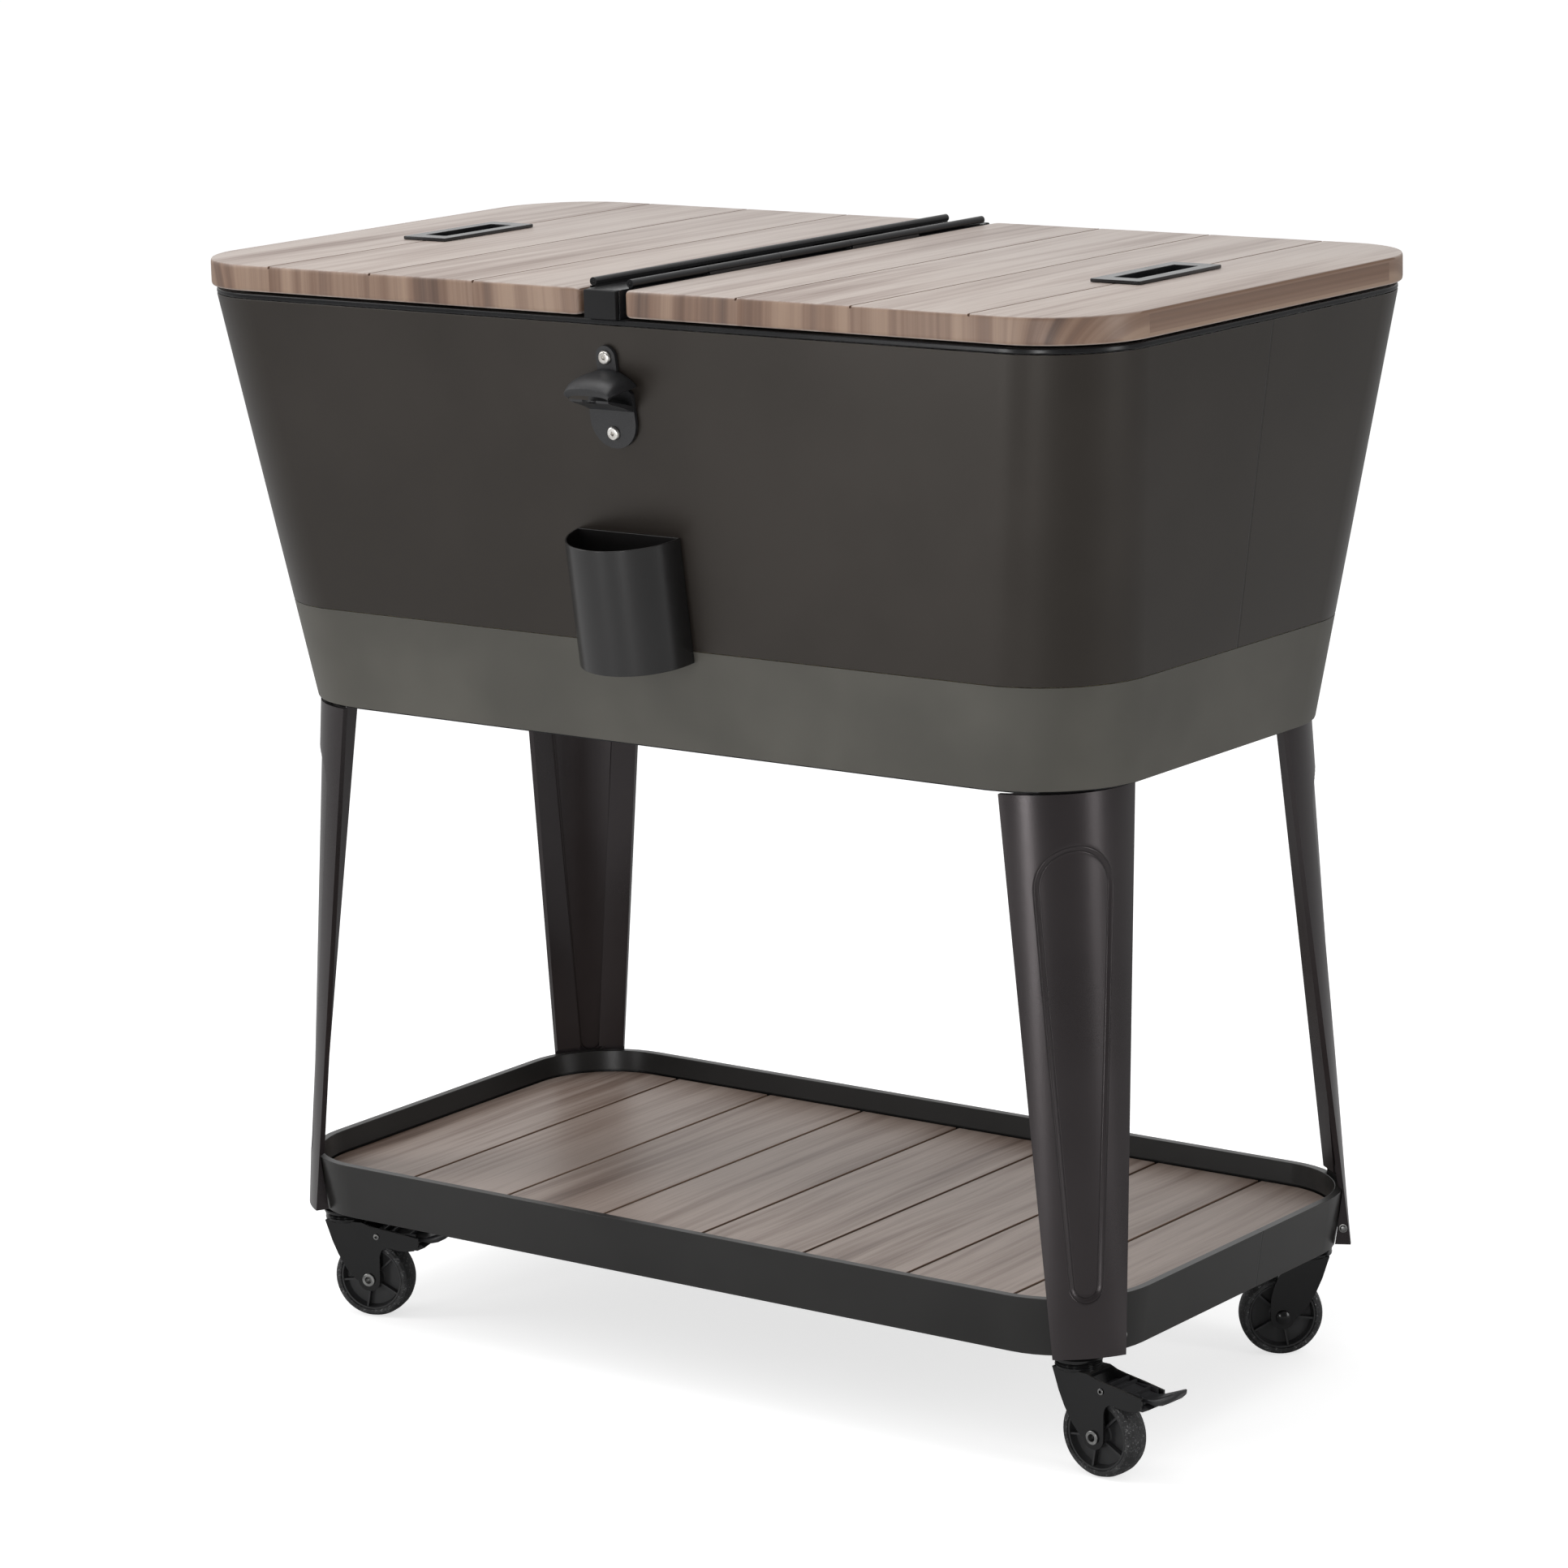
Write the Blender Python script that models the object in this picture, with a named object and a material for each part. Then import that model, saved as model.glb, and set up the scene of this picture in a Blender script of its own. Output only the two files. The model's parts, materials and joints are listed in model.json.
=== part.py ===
"""Rolling patio cooler: an insulated steel tub with two hinged wood-look lids, on four pressed legs with a
shelf tray and four swivel casters.

Metres, +Z up, +X right, -Y is the front. The origin is on the floor, under the middle of the tub.
"""

import math

import bmesh
import bpy
from mathutils import Matrix, Vector

MM = 0.001
DEGREE = math.pi / 180

# Gaps and fineness
GAP = 0.3 * MM
OVERRUN = 4 * MM
WELD = 0.001 * MM
CORNER_STEPS = 6
ROUND_STEPS = 8
STEM_STEPS = 12
SMALL_CORNER_STEPS = 3
HANDLE_CORNER_STEPS = 2
SMOOTH_ANGLE = 35 * DEGREE

# Casters
WHEEL_RADIUS = 34 * MM
WHEEL_HALF_WIDTH = 11.3 * MM
WHEEL_STEPS = 20
TRAIL = 24 * MM
CASTER_HEIGHT = 96.9 * MM
CASTER_INSET_X = 41.6 * MM
CASTER_INSET_Y = 42.6 * MM
CASTER_HEADINGS = {
    "front_left": 17 * DEGREE,
    "front_right": -4 * DEGREE,
    "back_left": 200 * DEGREE,
    "back_right": 220 * DEGREE,
}
MOUNT_DEPTH = 8.4 * MM
MOUNT_RADIUS = 19.5 * MM
STEM_RADIUS = 5 * MM
STEM_RISE = 6.5 * MM
RACEWAY_RADIUS = 18.5 * MM
RACEWAY_DEPTH = 4.5 * MM
FORK_HEAD_THICKNESS = 3.5 * MM
FORK_HALF_WIDTH = 15 * MM
FORK_SHEET = 2 * MM
FORK_EYE_RADIUS = 10 * MM
FORK_HEAD_REACH = 19 * MM
AXLE_RADIUS = 4 * MM
AXLE_HEAD_RADIUS = 5.5 * MM
AXLE_HEAD = 1.6 * MM
BRAKE_PIN_RADIUS = 1.6 * MM
BRAKE_PIN_HEAD_RADIUS = 2.6 * MM
BRAKE_PIN_HEAD = 0.8 * MM
PEDAL_BARREL_RADIUS = 3.2 * MM
PEDAL_BARREL_HALF = 11 * MM
# Shares of the wheel's radius outwards and of the fork's height upwards
FORK_FRONT_SHARES = ((-0.42, 1.0), (-0.32, 0.92), (-0.1, 0.66), (0.12, 0.5))
BRAKE_ARM_SHARES = (
    (1.0, 0.69), (1.1, 0.745), (1.53, 0.73), (2.02, 0.735), (2.08, 0.875), (1.0, 0.945), (0.58, 0.97),
)
PLAIN_FORK_BACK_SHARES = ((1.0, 0.5), (0.94, 0.69), (0.78, 0.86))
BRAKE_PIVOT_SHARES = (0.95, 0.862)
# Wheel profile: shares of the half width across and of the radius outwards
WHEEL_SIDE_SHARES = ((1.0, 0.28), (0.5, 0.32), (0.5, 0.7), (0.9, 0.78), (0.76, 1.0))
# Pedal sections: outwards and, of the fork's height, upwards; then half thickness and half width
PEDAL_SHARES = (
    (0.86, 0.862, 0.06, 0.27), (1.35, 0.855, 0.055, 0.27), (1.75, 0.842, 0.055, 0.29),
    (1.98, 0.84, 0.05, 0.24), (2.25, 0.855, 0.048, 0.3), (2.6, 0.905, 0.045, 0.33),
    (2.85, 0.965, 0.035, 0.24), (2.95, 0.99, 0.02, 0.1),
)
PEDAL_SHOE_SHARES = ((1.72, 0.73), (1.97, 0.725), (1.9, 0.8), (1.9, 0.84), (1.7, 0.84))

# Shelf tray
TRAY_SPREAD_X = 14 * MM
TRAY_SPREAD_Y = 12.2 * MM
TRAY_RADIUS = 80 * MM
TRAY_HEIGHT = 46.9 * MM
TRAY_FLARE = 7 * MM
TRAY_SHEET = 1.2 * MM
TRAY_LIP = 7 * MM
TRAY_LIP_DROP = 17 * MM
TRAY_EDGE = 1 * MM
BOARD_TOP_DROP = 18.4 * MM
BOARD_THICKNESS = 10 * MM
BOARD_RIB_WIDTH = 14 * MM
BOARD_RIB_SHARES = (-0.72, -0.24, 0.24, 0.72)
BOARD_RIB_REACH_SHARE = 0.86
BOARD_PLANKS = 8
GROOVE_WIDTH = 2 * MM
GROOVE_DEPTH = 1.6 * MM

# Legs, each measured in its own corner of the tray
LEG_HEIGHT = 432.8 * MM
LEG_FOOT_RISE = 0.5 * MM
LEG_SHEET = 1.2 * MM
LEG_HEM = 4.6 * MM
LEG_LIP = 22 * MM
LEG_LIP_TILT = 12 * DEGREE
LEG_LIP_CLEARANCE = 2 * MM
LEG_WRAP_FRONT_ANGLE = 65 * DEGREE
LEG_WRAP_SIDE_ANGLE = 19.8 * DEGREE
LEG_WRAP_CLEARANCE = 0.4 * MM
LEG_TOP_INSET_X = 9.1 * MM
LEG_TOP_INSET_Y = 1 * MM
LEG_TOP_RUN_X = 64.3 * MM
LEG_TOP_RUN_Y = 89.7 * MM
LEG_TOP_BULGE = 23.5 * MM
LEG_CAP = 2 * MM
LEG_CAP_DROP = 0.6 * MM
PANEL_DEPTH = 2.2 * MM
PANEL_SHARES = (0.21, 0.84)
PANEL_SLOPE_SHARE = 0.035
PANEL_TOP_DROP = 37.5 * MM
PANEL_TOP_ARCH = 23 * MM
PANEL_FOOT_ARCH = 14 * MM
PANEL_ARCH_SHARES = (0.12, 0.62, 1.0)

# Tub
BASE_PLATE = 2 * MM
BASE_PLATE_INSET = 6 * MM
BODY_HEIGHT = 336.9 * MM
BODY_TOP_HALF_X = 443 * MM
BODY_TOP_HALF_Y = 246.5 * MM
BODY_TOP_RADIUS = 80 * MM
BODY_TAPER_X = 45.7 * MM
BODY_TAPER_Y = 46.5 * MM
BODY_FOOT_RADIUS = 87 * MM
BAND_HEIGHT = 82.1 * MM
BODY_SHEET = 1.5 * MM
BAND_FLANGE = 14 * MM
WALL_TOP = 45 * MM
WALL_FOOT = 48 * MM
LINER_WALL = 3 * MM
LINER_FLOOR_RISE = 41.9 * MM
LINER_FILLET = 16 * MM
LINER_FLANGE_INSET = 5 * MM
COLLAR_HEIGHT = 4.4 * MM
COLLAR_EDGE = 1.6 * MM

# Lids
GASKET = 1.7 * MM
GASKET_WIDTH = 8 * MM
GASKET_INSET = 30 * MM
LID_OVERHANG = 2.2 * MM
LID_RADIUS = 78 * MM
LID_THICKNESS = 21 * MM
LID_END_ROUND = 3.5 * MM
LID_EDGE_ROUND = 1 * MM
LID_ROUND_STEPS = 2
LID_PLANK_SHARES = (0.25, 0.5, 0.75)
LID_GROOVE = 1.5 * MM
PLUG_DEPTH = 16 * MM
PLUG_CLEARANCE = 5 * MM
PLUG_TAPER = 4 * MM
PLUG_RADIUS = 28 * MM

# Centre bar and hinges
BAR_HALF_WIDTH = 15.5 * MM
BAR_GAP = 6.5 * MM
BAR_TOP_DROP = 0.5 * MM
BAR_CAP_PROUD = 3 * MM
BAR_CAP = 5 * MM
BAR_CAP_BEVEL = 1 * MM
BAR_WALL = 2.5 * MM
BEAM_HALF_WIDTH = 36 * MM
BEAM_DEPTH = 13 * MM
KNUCKLE_RADIUS = 3.2 * MM
KNUCKLE_OFFSET = 2.5 * MM
KNUCKLE_RISE = 3.5 * MM
HINGE_PIN_RADIUS = 1.4 * MM
HINGE_HALF_LENGTH = 236 * MM
HINGE_KNUCKLES = 5
HINGE_LEAF = 1.2 * MM
HINGE_LEAF_DEPTH = 18 * MM
KNUCKLE_STEPS = 10

# Recessed lid handles
HANDLE_CENTRE_X = 340 * MM
HANDLE_CENTRE_Y = 2 * MM
BEZEL_HALF_X = 22.5 * MM
BEZEL_HALF_Y = 58 * MM
BEZEL_HEIGHT = 2.7 * MM
BEZEL_EDGE = 0.8 * MM
CUP_HALF_X = 11 * MM
CUP_HALF_Y = 43 * MM
CUP_DEPTH = 13 * MM
CUP_WALL = 1.6 * MM
HANDLE_CORNER = 2 * MM

# Bottle opener, on the front wall
OPENER_DROP = 54 * MM
OPENER_SCREW_HALF = 30 * MM
OPENER_PLATE = 3 * MM
OPENER_TAB_RADIUS = 9.2 * MM
OPENER_TONGUE_RADIUS = 21 * MM
OPENER_TONGUE_DROP = 21.3 * MM
OPENER_HOOD_HALF = 35 * MM
OPENER_HOOD_REACH = 20 * MM
OPENER_HOOD_HEIGHT = 26 * MM
OPENER_HOOD_STATIONS = 11
OPENER_HOOD_SWEEP = 76 * DEGREE
# Shares of the hood's reach outwards and of its height upwards
OPENER_HOOD_SHARES = (
    (0.0, 0.92), (0.35, 0.86), (0.75, 0.6), (1.0, 0.2), (0.98, 0.02), (0.8, 0.04), (0.62, 0.3), (0.3, 0.5),
    (0.0, 0.56),
)
SCREW_HEAD_RADIUS = 5 * MM
SCREW_HEAD = 2.6 * MM
SCREW_SHANK_RADIUS = 2.4 * MM

# Cap catcher, below the opener
CATCHER_DROP = 163.5 * MM
CATCHER_HEIGHT = 101 * MM
CATCHER_RADIUS = 50 * MM
CATCHER_SHEET = 1.5 * MM
CATCHER_STEPS = 16
CATCHER_SCREW_HALF = 18 * MM
CATCHER_SCREW_DROP = 26 * MM

# Drain, low on the back wall
DRAIN_RISE = 13 * MM
DRAIN_RADIUS = 9 * MM
DRAIN_BORE = 6.5 * MM
DRAIN_FLANGE_RADIUS = 15 * MM
DRAIN_FLANGE = 3 * MM
DRAIN_NECK = 12 * MM
DRAIN_CAP_RADIUS = 12.5 * MM
DRAIN_CAP_WALL = 2 * MM
DRAIN_STEPS = 16

# Heights and places that follow
BODY_FOOT_HALF_X = BODY_TOP_HALF_X - BODY_TAPER_X
BODY_FOOT_HALF_Y = BODY_TOP_HALF_Y - BODY_TAPER_Y
TRAY_HALF_X = BODY_FOOT_HALF_X + TRAY_SPREAD_X
TRAY_HALF_Y = BODY_FOOT_HALF_Y + TRAY_SPREAD_Y
TRAY_BOTTOM_Z = CASTER_HEIGHT + GAP
TRAY_TOP_Z = TRAY_BOTTOM_Z + TRAY_HEIGHT
BOARD_TOP_Z = TRAY_TOP_Z - BOARD_TOP_DROP
LEG_FOOT_Z = TRAY_BOTTOM_Z + LEG_FOOT_RISE
LEG_TOP_Z = LEG_FOOT_Z + LEG_HEIGHT
BASE_PLATE_Z = LEG_TOP_Z + GAP
BODY_FOOT_Z = BASE_PLATE_Z + BASE_PLATE + GAP
BODY_TOP_Z = BODY_FOOT_Z + BODY_HEIGHT
BAND_TOP_Z = BODY_FOOT_Z + BAND_HEIGHT
LINER_FLOOR_Z = BODY_FOOT_Z + LINER_FLOOR_RISE
COLLAR_Z = BODY_TOP_Z + GAP
COLLAR_TOP_Z = COLLAR_Z + COLLAR_HEIGHT
GASKET_Z = COLLAR_TOP_Z + GAP
LID_Z = GASKET_Z + GASKET + GAP
LID_TOP_Z = LID_Z + LID_THICKNESS
LID_HALF_X = BODY_TOP_HALF_X + LID_OVERHANG
LID_HALF_Y = BODY_TOP_HALF_Y + LID_OVERHANG
LID_INNER_X = BAR_HALF_WIDTH + BAR_GAP
BAR_TOP_Z = LID_TOP_Z - BAR_TOP_DROP
HINGE_X = BAR_HALF_WIDTH + KNUCKLE_OFFSET
HINGE_Z = LID_TOP_Z + KNUCKLE_RISE
WALL_LEAN = math.atan(BODY_TAPER_Y / BODY_HEIGHT)
CASTER_X = TRAY_HALF_X - CASTER_INSET_X
CASTER_Y = TRAY_HALF_Y - CASTER_INSET_Y
MOUNT_Z = CASTER_HEIGHT - MOUNT_DEPTH
FORK_TOP_Z = MOUNT_Z - GAP
FORK_HEAD_Z = FORK_TOP_Z - RACEWAY_DEPTH
OPENER_SCREW_DROPS = (OPENER_DROP - OPENER_SCREW_HALF, OPENER_DROP + OPENER_SCREW_HALF)

# Looks: colour, roughness, metallic
WOOD = ((0.36, 0.29, 0.25), 0.45, 0.0)
DARK_STEEL = ((0.05, 0.045, 0.04), 0.42, 0.3)
BAND_STEEL = ((0.09, 0.088, 0.08), 0.45, 0.3)
LEG_STEEL = ((0.035, 0.03, 0.03), 0.45, 0.3)
BLACK_STEEL = ((0.015, 0.015, 0.017), 0.35, 0.3)
BRIGHT_STEEL = ((0.6, 0.6, 0.6), 0.25, 1.0)
FOAM = ((0.85, 0.8, 0.6), 0.9, 0.0)
LINER_WHITE = ((0.75, 0.76, 0.76), 0.4, 0.0)
RUBBER = ((0.02, 0.02, 0.02), 0.8, 0.0)
BLACK_PLASTIC = ((0.02, 0.02, 0.022), 0.5, 0.0)


def clear_scene():
    for item in list(bpy.data.objects):
        bpy.data.objects.remove(item, do_unlink=True)


def make_material(name, look):
    colour, roughness, metallic = look
    made = bpy.data.materials.new(name)
    made.use_nodes = True
    shader = made.node_tree.nodes["Principled BSDF"]
    shader.inputs["Base Color"].default_value = (*colour, 1)
    shader.inputs["Roughness"].default_value = roughness
    shader.inputs["Metallic"].default_value = metallic
    return made


def mesh_of(name, bm):
    """The finished mesh of a bmesh: normals out, round faces smooth."""
    bmesh.ops.recalc_face_normals(bm, faces=bm.faces)
    if bm.calc_volume(signed=True) < 0:
        bmesh.ops.reverse_faces(bm, faces=bm.faces)
    mesh = bpy.data.meshes.new(name)
    bm.to_mesh(mesh)
    bm.free()
    mesh.shade_smooth()
    mesh.set_sharp_from_angle(angle=SMOOTH_ANGLE)
    return mesh


def add_piece(name, mesh, look, parent=None):
    """Puts a mesh into the scene. A mesh made in world places is moved back by its parent's own place."""
    mesh.materials.clear()
    mesh.materials.append(make_material(name, look))
    piece = bpy.data.objects.new(name, mesh)
    bpy.context.collection.objects.link(piece)
    if parent:
        piece.parent = parent
        piece.location = -parent.location
    return piece


def add_empty(name, place, parent=None, turn=0.0):
    empty = bpy.data.objects.new(name, None)
    bpy.context.collection.objects.link(empty)
    empty.location = place
    empty.rotation_euler = (0, 0, turn)
    empty.parent = parent
    return empty


def combined(name, base, steps):
    """The mesh of a bmesh after Boolean steps, each an operation and a bmesh."""
    solid = bpy.data.objects.new(name, mesh_of(name, base))
    bpy.context.collection.objects.link(solid)
    tools = []
    for operation, other in steps:
        tool = bpy.data.objects.new(name + "_tool", mesh_of(name + "_tool", other))
        bpy.context.collection.objects.link(tool)
        modifier = solid.modifiers.new(operation, "BOOLEAN")
        modifier.operation = operation
        modifier.solver = "EXACT"
        modifier.object = tool
        tools.append(tool)
    bpy.context.view_layer.update()
    graph = bpy.context.evaluated_depsgraph_get()
    mesh = bpy.data.meshes.new_from_object(solid.evaluated_get(graph))
    mesh.name = name
    for item in [solid, *tools]:
        bpy.data.objects.remove(item, do_unlink=True)
    mesh.shade_smooth()
    mesh.set_sharp_from_angle(angle=SMOOTH_ANGLE)
    return mesh


def rounded_ring(half_x, half_y, radius, z, steps=CORNER_STEPS):
    """A rectangle with round corners at one height, anticlockwise from above."""
    points = []
    for quarter, (side_x, side_y) in enumerate(((1, 1), (-1, 1), (-1, -1), (1, -1))):
        for step in range(steps + 1):
            angle = (quarter + step / steps) * math.pi / 2
            x = side_x * (half_x - radius) + radius * math.cos(angle)
            y = side_y * (half_y - radius) + radius * math.sin(angle)
            points.append(Vector((x, y, z)))
    return points


def moved(points, shift):
    return [point + Vector(shift) for point in points]


def loft(bm, rings, closed=False):
    """Skins a row of equal rings. An open row gets end caps, a closed one joins its ends."""
    rows = [[bm.verts.new(point) for point in ring] for ring in rings]
    count = len(rows[0])
    following = rows[1:] + rows[:1] if closed else rows[1:]
    for low, high in zip(rows, following):
        for i in range(count):
            j = (i + 1) % count
            bm.faces.new((low[i], low[j], high[j], high[i]))
    if not closed:
        bm.faces.new(rows[0])
        bm.faces.new(rows[-1])
    return bm


def lofted(rings, closed=False):
    return loft(bmesh.new(), rings, closed)


def add_box(bm, low, high):
    low, high = Vector(low), Vector(high)
    size = high - low
    place = Matrix.Translation((low + high) / 2) @ Matrix.Diagonal((*size, 1))
    bmesh.ops.create_cube(bm, size=1, matrix=place)
    return bm


def add_cylinder(bm, start, end, radius, steps):
    start, end = Vector(start), Vector(end)
    along = end - start
    turn = Vector((0, 0, 1)).rotation_difference(along).to_matrix().to_4x4()
    place = Matrix.Translation((start + end) / 2) @ turn
    bmesh.ops.create_cone(
        bm, cap_ends=True, segments=steps, radius1=radius, radius2=radius, depth=along.length, matrix=place
    )
    return bm


def revolved(profile, centre, axis, side, steps, closed=False):
    """Spins a profile of (along the axis, out from it) round an axis."""
    bm = bmesh.new()
    centre, axis, side = Vector(centre), Vector(axis), Vector(side)
    row = [bm.verts.new(centre + axis * along + side * out) for along, out in profile]
    edges = [bm.edges.new(pair) for pair in zip(row, row[1:] + row[:1] if closed else row[1:])]
    bmesh.ops.spin(
        bm, geom=row + edges, cent=centre, axis=axis, angle=2 * math.pi, steps=steps, use_merge=True
    )
    bmesh.ops.remove_doubles(bm, verts=bm.verts, dist=WELD)
    return bm


def prism(outline, shift):
    """An outline of points swept along a shift."""
    return lofted([outline, moved(outline, shift)])


def body_ring(z, inset=0.0):
    """The tub's outline at a height, drawn in by an inset."""
    share = (z - BODY_FOOT_Z) / BODY_HEIGHT
    half_x = BODY_FOOT_HALF_X + (BODY_TOP_HALF_X - BODY_FOOT_HALF_X) * share
    half_y = BODY_FOOT_HALF_Y + (BODY_TOP_HALF_Y - BODY_FOOT_HALF_Y) * share
    radius = BODY_FOOT_RADIUS + (BODY_TOP_RADIUS - BODY_FOOT_RADIUS) * share
    return rounded_ring(half_x - inset, half_y - inset, radius - inset, z)


def wall_inset(z):
    """How far the inside of the tub lies in from its outline at a height."""
    share = (z - LINER_FLOOR_Z) / (BODY_TOP_Z - LINER_FLOOR_Z)
    return WALL_FOOT + (WALL_TOP - WALL_FOOT) * share


def tray_ring(z, inset=0.0):
    """The tray's outline at a height, drawn in by an inset."""
    share = (TRAY_TOP_Z - z) / TRAY_HEIGHT
    total = inset + TRAY_FLARE * share
    return rounded_ring(TRAY_HALF_X - total, TRAY_HALF_Y - total, TRAY_RADIUS - total, z)


def wall_frame(drop):
    """Places (across, up the wall, out of it) on the front wall, so far below the body's top edge."""
    foot = Vector((0, -BODY_TOP_HALF_Y + drop * math.tan(WALL_LEAN), BODY_TOP_Z - drop))
    up = Vector((0, -math.sin(WALL_LEAN), math.cos(WALL_LEAN)))
    out = Vector((0, -math.cos(WALL_LEAN), -math.sin(WALL_LEAN)))
    frame = Matrix((Vector((1, 0, 0)), up, out)).transposed().to_4x4()
    return Matrix.Translation(foot) @ frame


def placed(points, frame):
    return [frame @ Vector(point) for point in points]


def screw_sites():
    """The drop and side of every screw in the front wall."""
    upper_drop, lower_drop = OPENER_SCREW_DROPS
    sites = {
        "opener_screw_upper": (upper_drop, 0.0, OPENER_PLATE),
        "opener_screw_lower": (lower_drop, 0.0, OPENER_PLATE),
    }
    for name, side in (("left", -1), ("right", 1)):
        sites["catcher_screw_" + name] = (
            CATCHER_DROP + CATCHER_SCREW_DROP,
            side * CATCHER_SCREW_HALF,
            CATCHER_SHEET,
        )
    return sites


def screw_hole(bm, drop, side, depth):
    """A hole for a screw's shank, square to the front wall."""
    frame = wall_frame(drop)
    start, end = placed(((side, 0, -depth), (side, 0, depth)), frame)
    return add_cylinder(bm, start, end, SCREW_SHANK_RADIUS + GAP, ROUND_STEPS)


def build_shell():
    holes = bmesh.new()
    for drop, side, _ in screw_sites().values():
        screw_hole(holes, drop, side, OVERRUN)
    foot = BAND_TOP_Z + GAP
    shell = lofted(
        [
            body_ring(foot), body_ring(BODY_TOP_Z), body_ring(BODY_TOP_Z, BODY_SHEET),
            body_ring(foot, BODY_SHEET),
        ],
        closed=True,
    )
    add_piece("outer_shell", combined("outer_shell", shell, [("DIFFERENCE", holes)]), DARK_STEEL)


def build_band():
    flange_z = BODY_FOOT_Z + BODY_SHEET
    band = lofted(
        [
            body_ring(BAND_TOP_Z), body_ring(BAND_TOP_Z, BODY_SHEET), body_ring(flange_z, BODY_SHEET),
            body_ring(flange_z, BAND_FLANGE), body_ring(BODY_FOOT_Z, BAND_FLANGE), body_ring(BODY_FOOT_Z),
        ],
        closed=True,
    )
    add_piece("lower_band", combined("lower_band", band, [("DIFFERENCE", drain_hole())]), BAND_STEEL)


def build_base_plate():
    half_x, half_y = BODY_FOOT_HALF_X - BASE_PLATE_INSET, BODY_FOOT_HALF_Y - BASE_PLATE_INSET
    radius = BODY_FOOT_RADIUS - BASE_PLATE_INSET
    heights = (BASE_PLATE_Z, BASE_PLATE_Z + BASE_PLATE)
    plate = lofted([rounded_ring(half_x, half_y, radius, z) for z in heights])
    add_piece("base_plate", mesh_of("base_plate", plate), BLACK_STEEL)


def build_insulation():
    """The foam between the steel and the liner, as one block with the tub's hollow in it."""
    skin = BODY_SHEET + GAP
    back = LINER_WALL + GAP
    foot = BODY_FOOT_Z + skin
    top = BODY_TOP_Z - back - GAP
    shoulder = LINER_FLOOR_Z + LINER_FILLET
    floor_inset = wall_inset(LINER_FLOOR_Z) - back + LINER_FILLET - LINER_WALL
    foam = lofted(
        [
            body_ring(foot, skin), body_ring(top, skin), body_ring(top, wall_inset(top) - back),
            body_ring(shoulder, wall_inset(shoulder) - back), body_ring(LINER_FLOOR_Z - back, floor_inset),
        ]
    )
    add_piece("insulation", combined("insulation", foam, [("DIFFERENCE", drain_hole())]), FOAM)


def build_liner():
    """The moulded tub, with a flange over the foam's top."""
    top = BODY_TOP_Z - GAP
    under = top - LINER_WALL
    wall = LINER_WALL
    shoulder = LINER_FLOOR_Z + LINER_FILLET
    floor_inset = wall_inset(LINER_FLOOR_Z) + LINER_FILLET
    liner = lofted(
        [
            body_ring(LINER_FLOOR_Z - wall, floor_inset - wall),
            body_ring(shoulder, wall_inset(shoulder) - wall),
            body_ring(under, wall_inset(under) - wall), body_ring(under, LINER_FLANGE_INSET),
            body_ring(top, LINER_FLANGE_INSET), body_ring(top, wall_inset(BODY_TOP_Z)),
            body_ring(shoulder, wall_inset(shoulder)), body_ring(LINER_FLOOR_Z, floor_inset),
        ]
    )
    add_piece("inner_liner", combined("inner_liner", liner, [("DIFFERENCE", drain_hole())]), LINER_WHITE)


def build_collar():
    """The frame round the tub's mouth that the lids close on."""
    mouth = wall_inset(BODY_TOP_Z)
    shoulder = COLLAR_TOP_Z - COLLAR_EDGE

    def ring(z, inset):
        return rounded_ring(BODY_TOP_HALF_X - inset, BODY_TOP_HALF_Y - inset, BODY_TOP_RADIUS - inset, z)

    collar = lofted(
        [
            ring(COLLAR_Z, 0), ring(shoulder, 0), ring(COLLAR_TOP_Z, COLLAR_EDGE),
            ring(COLLAR_TOP_Z, mouth - COLLAR_EDGE), ring(shoulder, mouth), ring(COLLAR_Z, mouth),
        ],
        closed=True,
    )
    add_piece("top_collar", mesh_of("top_collar", collar), BLACK_STEEL)


def drain_centre():
    return LINER_FLOOR_Z + DRAIN_RISE


def drain_wall_y():
    """Where the back wall's face is at the drain's height."""
    return BODY_TOP_HALF_Y - (BODY_TOP_Z - drain_centre()) * math.tan(WALL_LEAN)


def drain_hole():
    z = drain_centre()
    wall_y = drain_wall_y()
    start = (0, wall_y - WALL_FOOT - 2 * OVERRUN, z)
    end = (0, wall_y + 2 * OVERRUN, z)
    return add_cylinder(bmesh.new(), start, end, DRAIN_RADIUS + GAP, DRAIN_STEPS)


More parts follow.
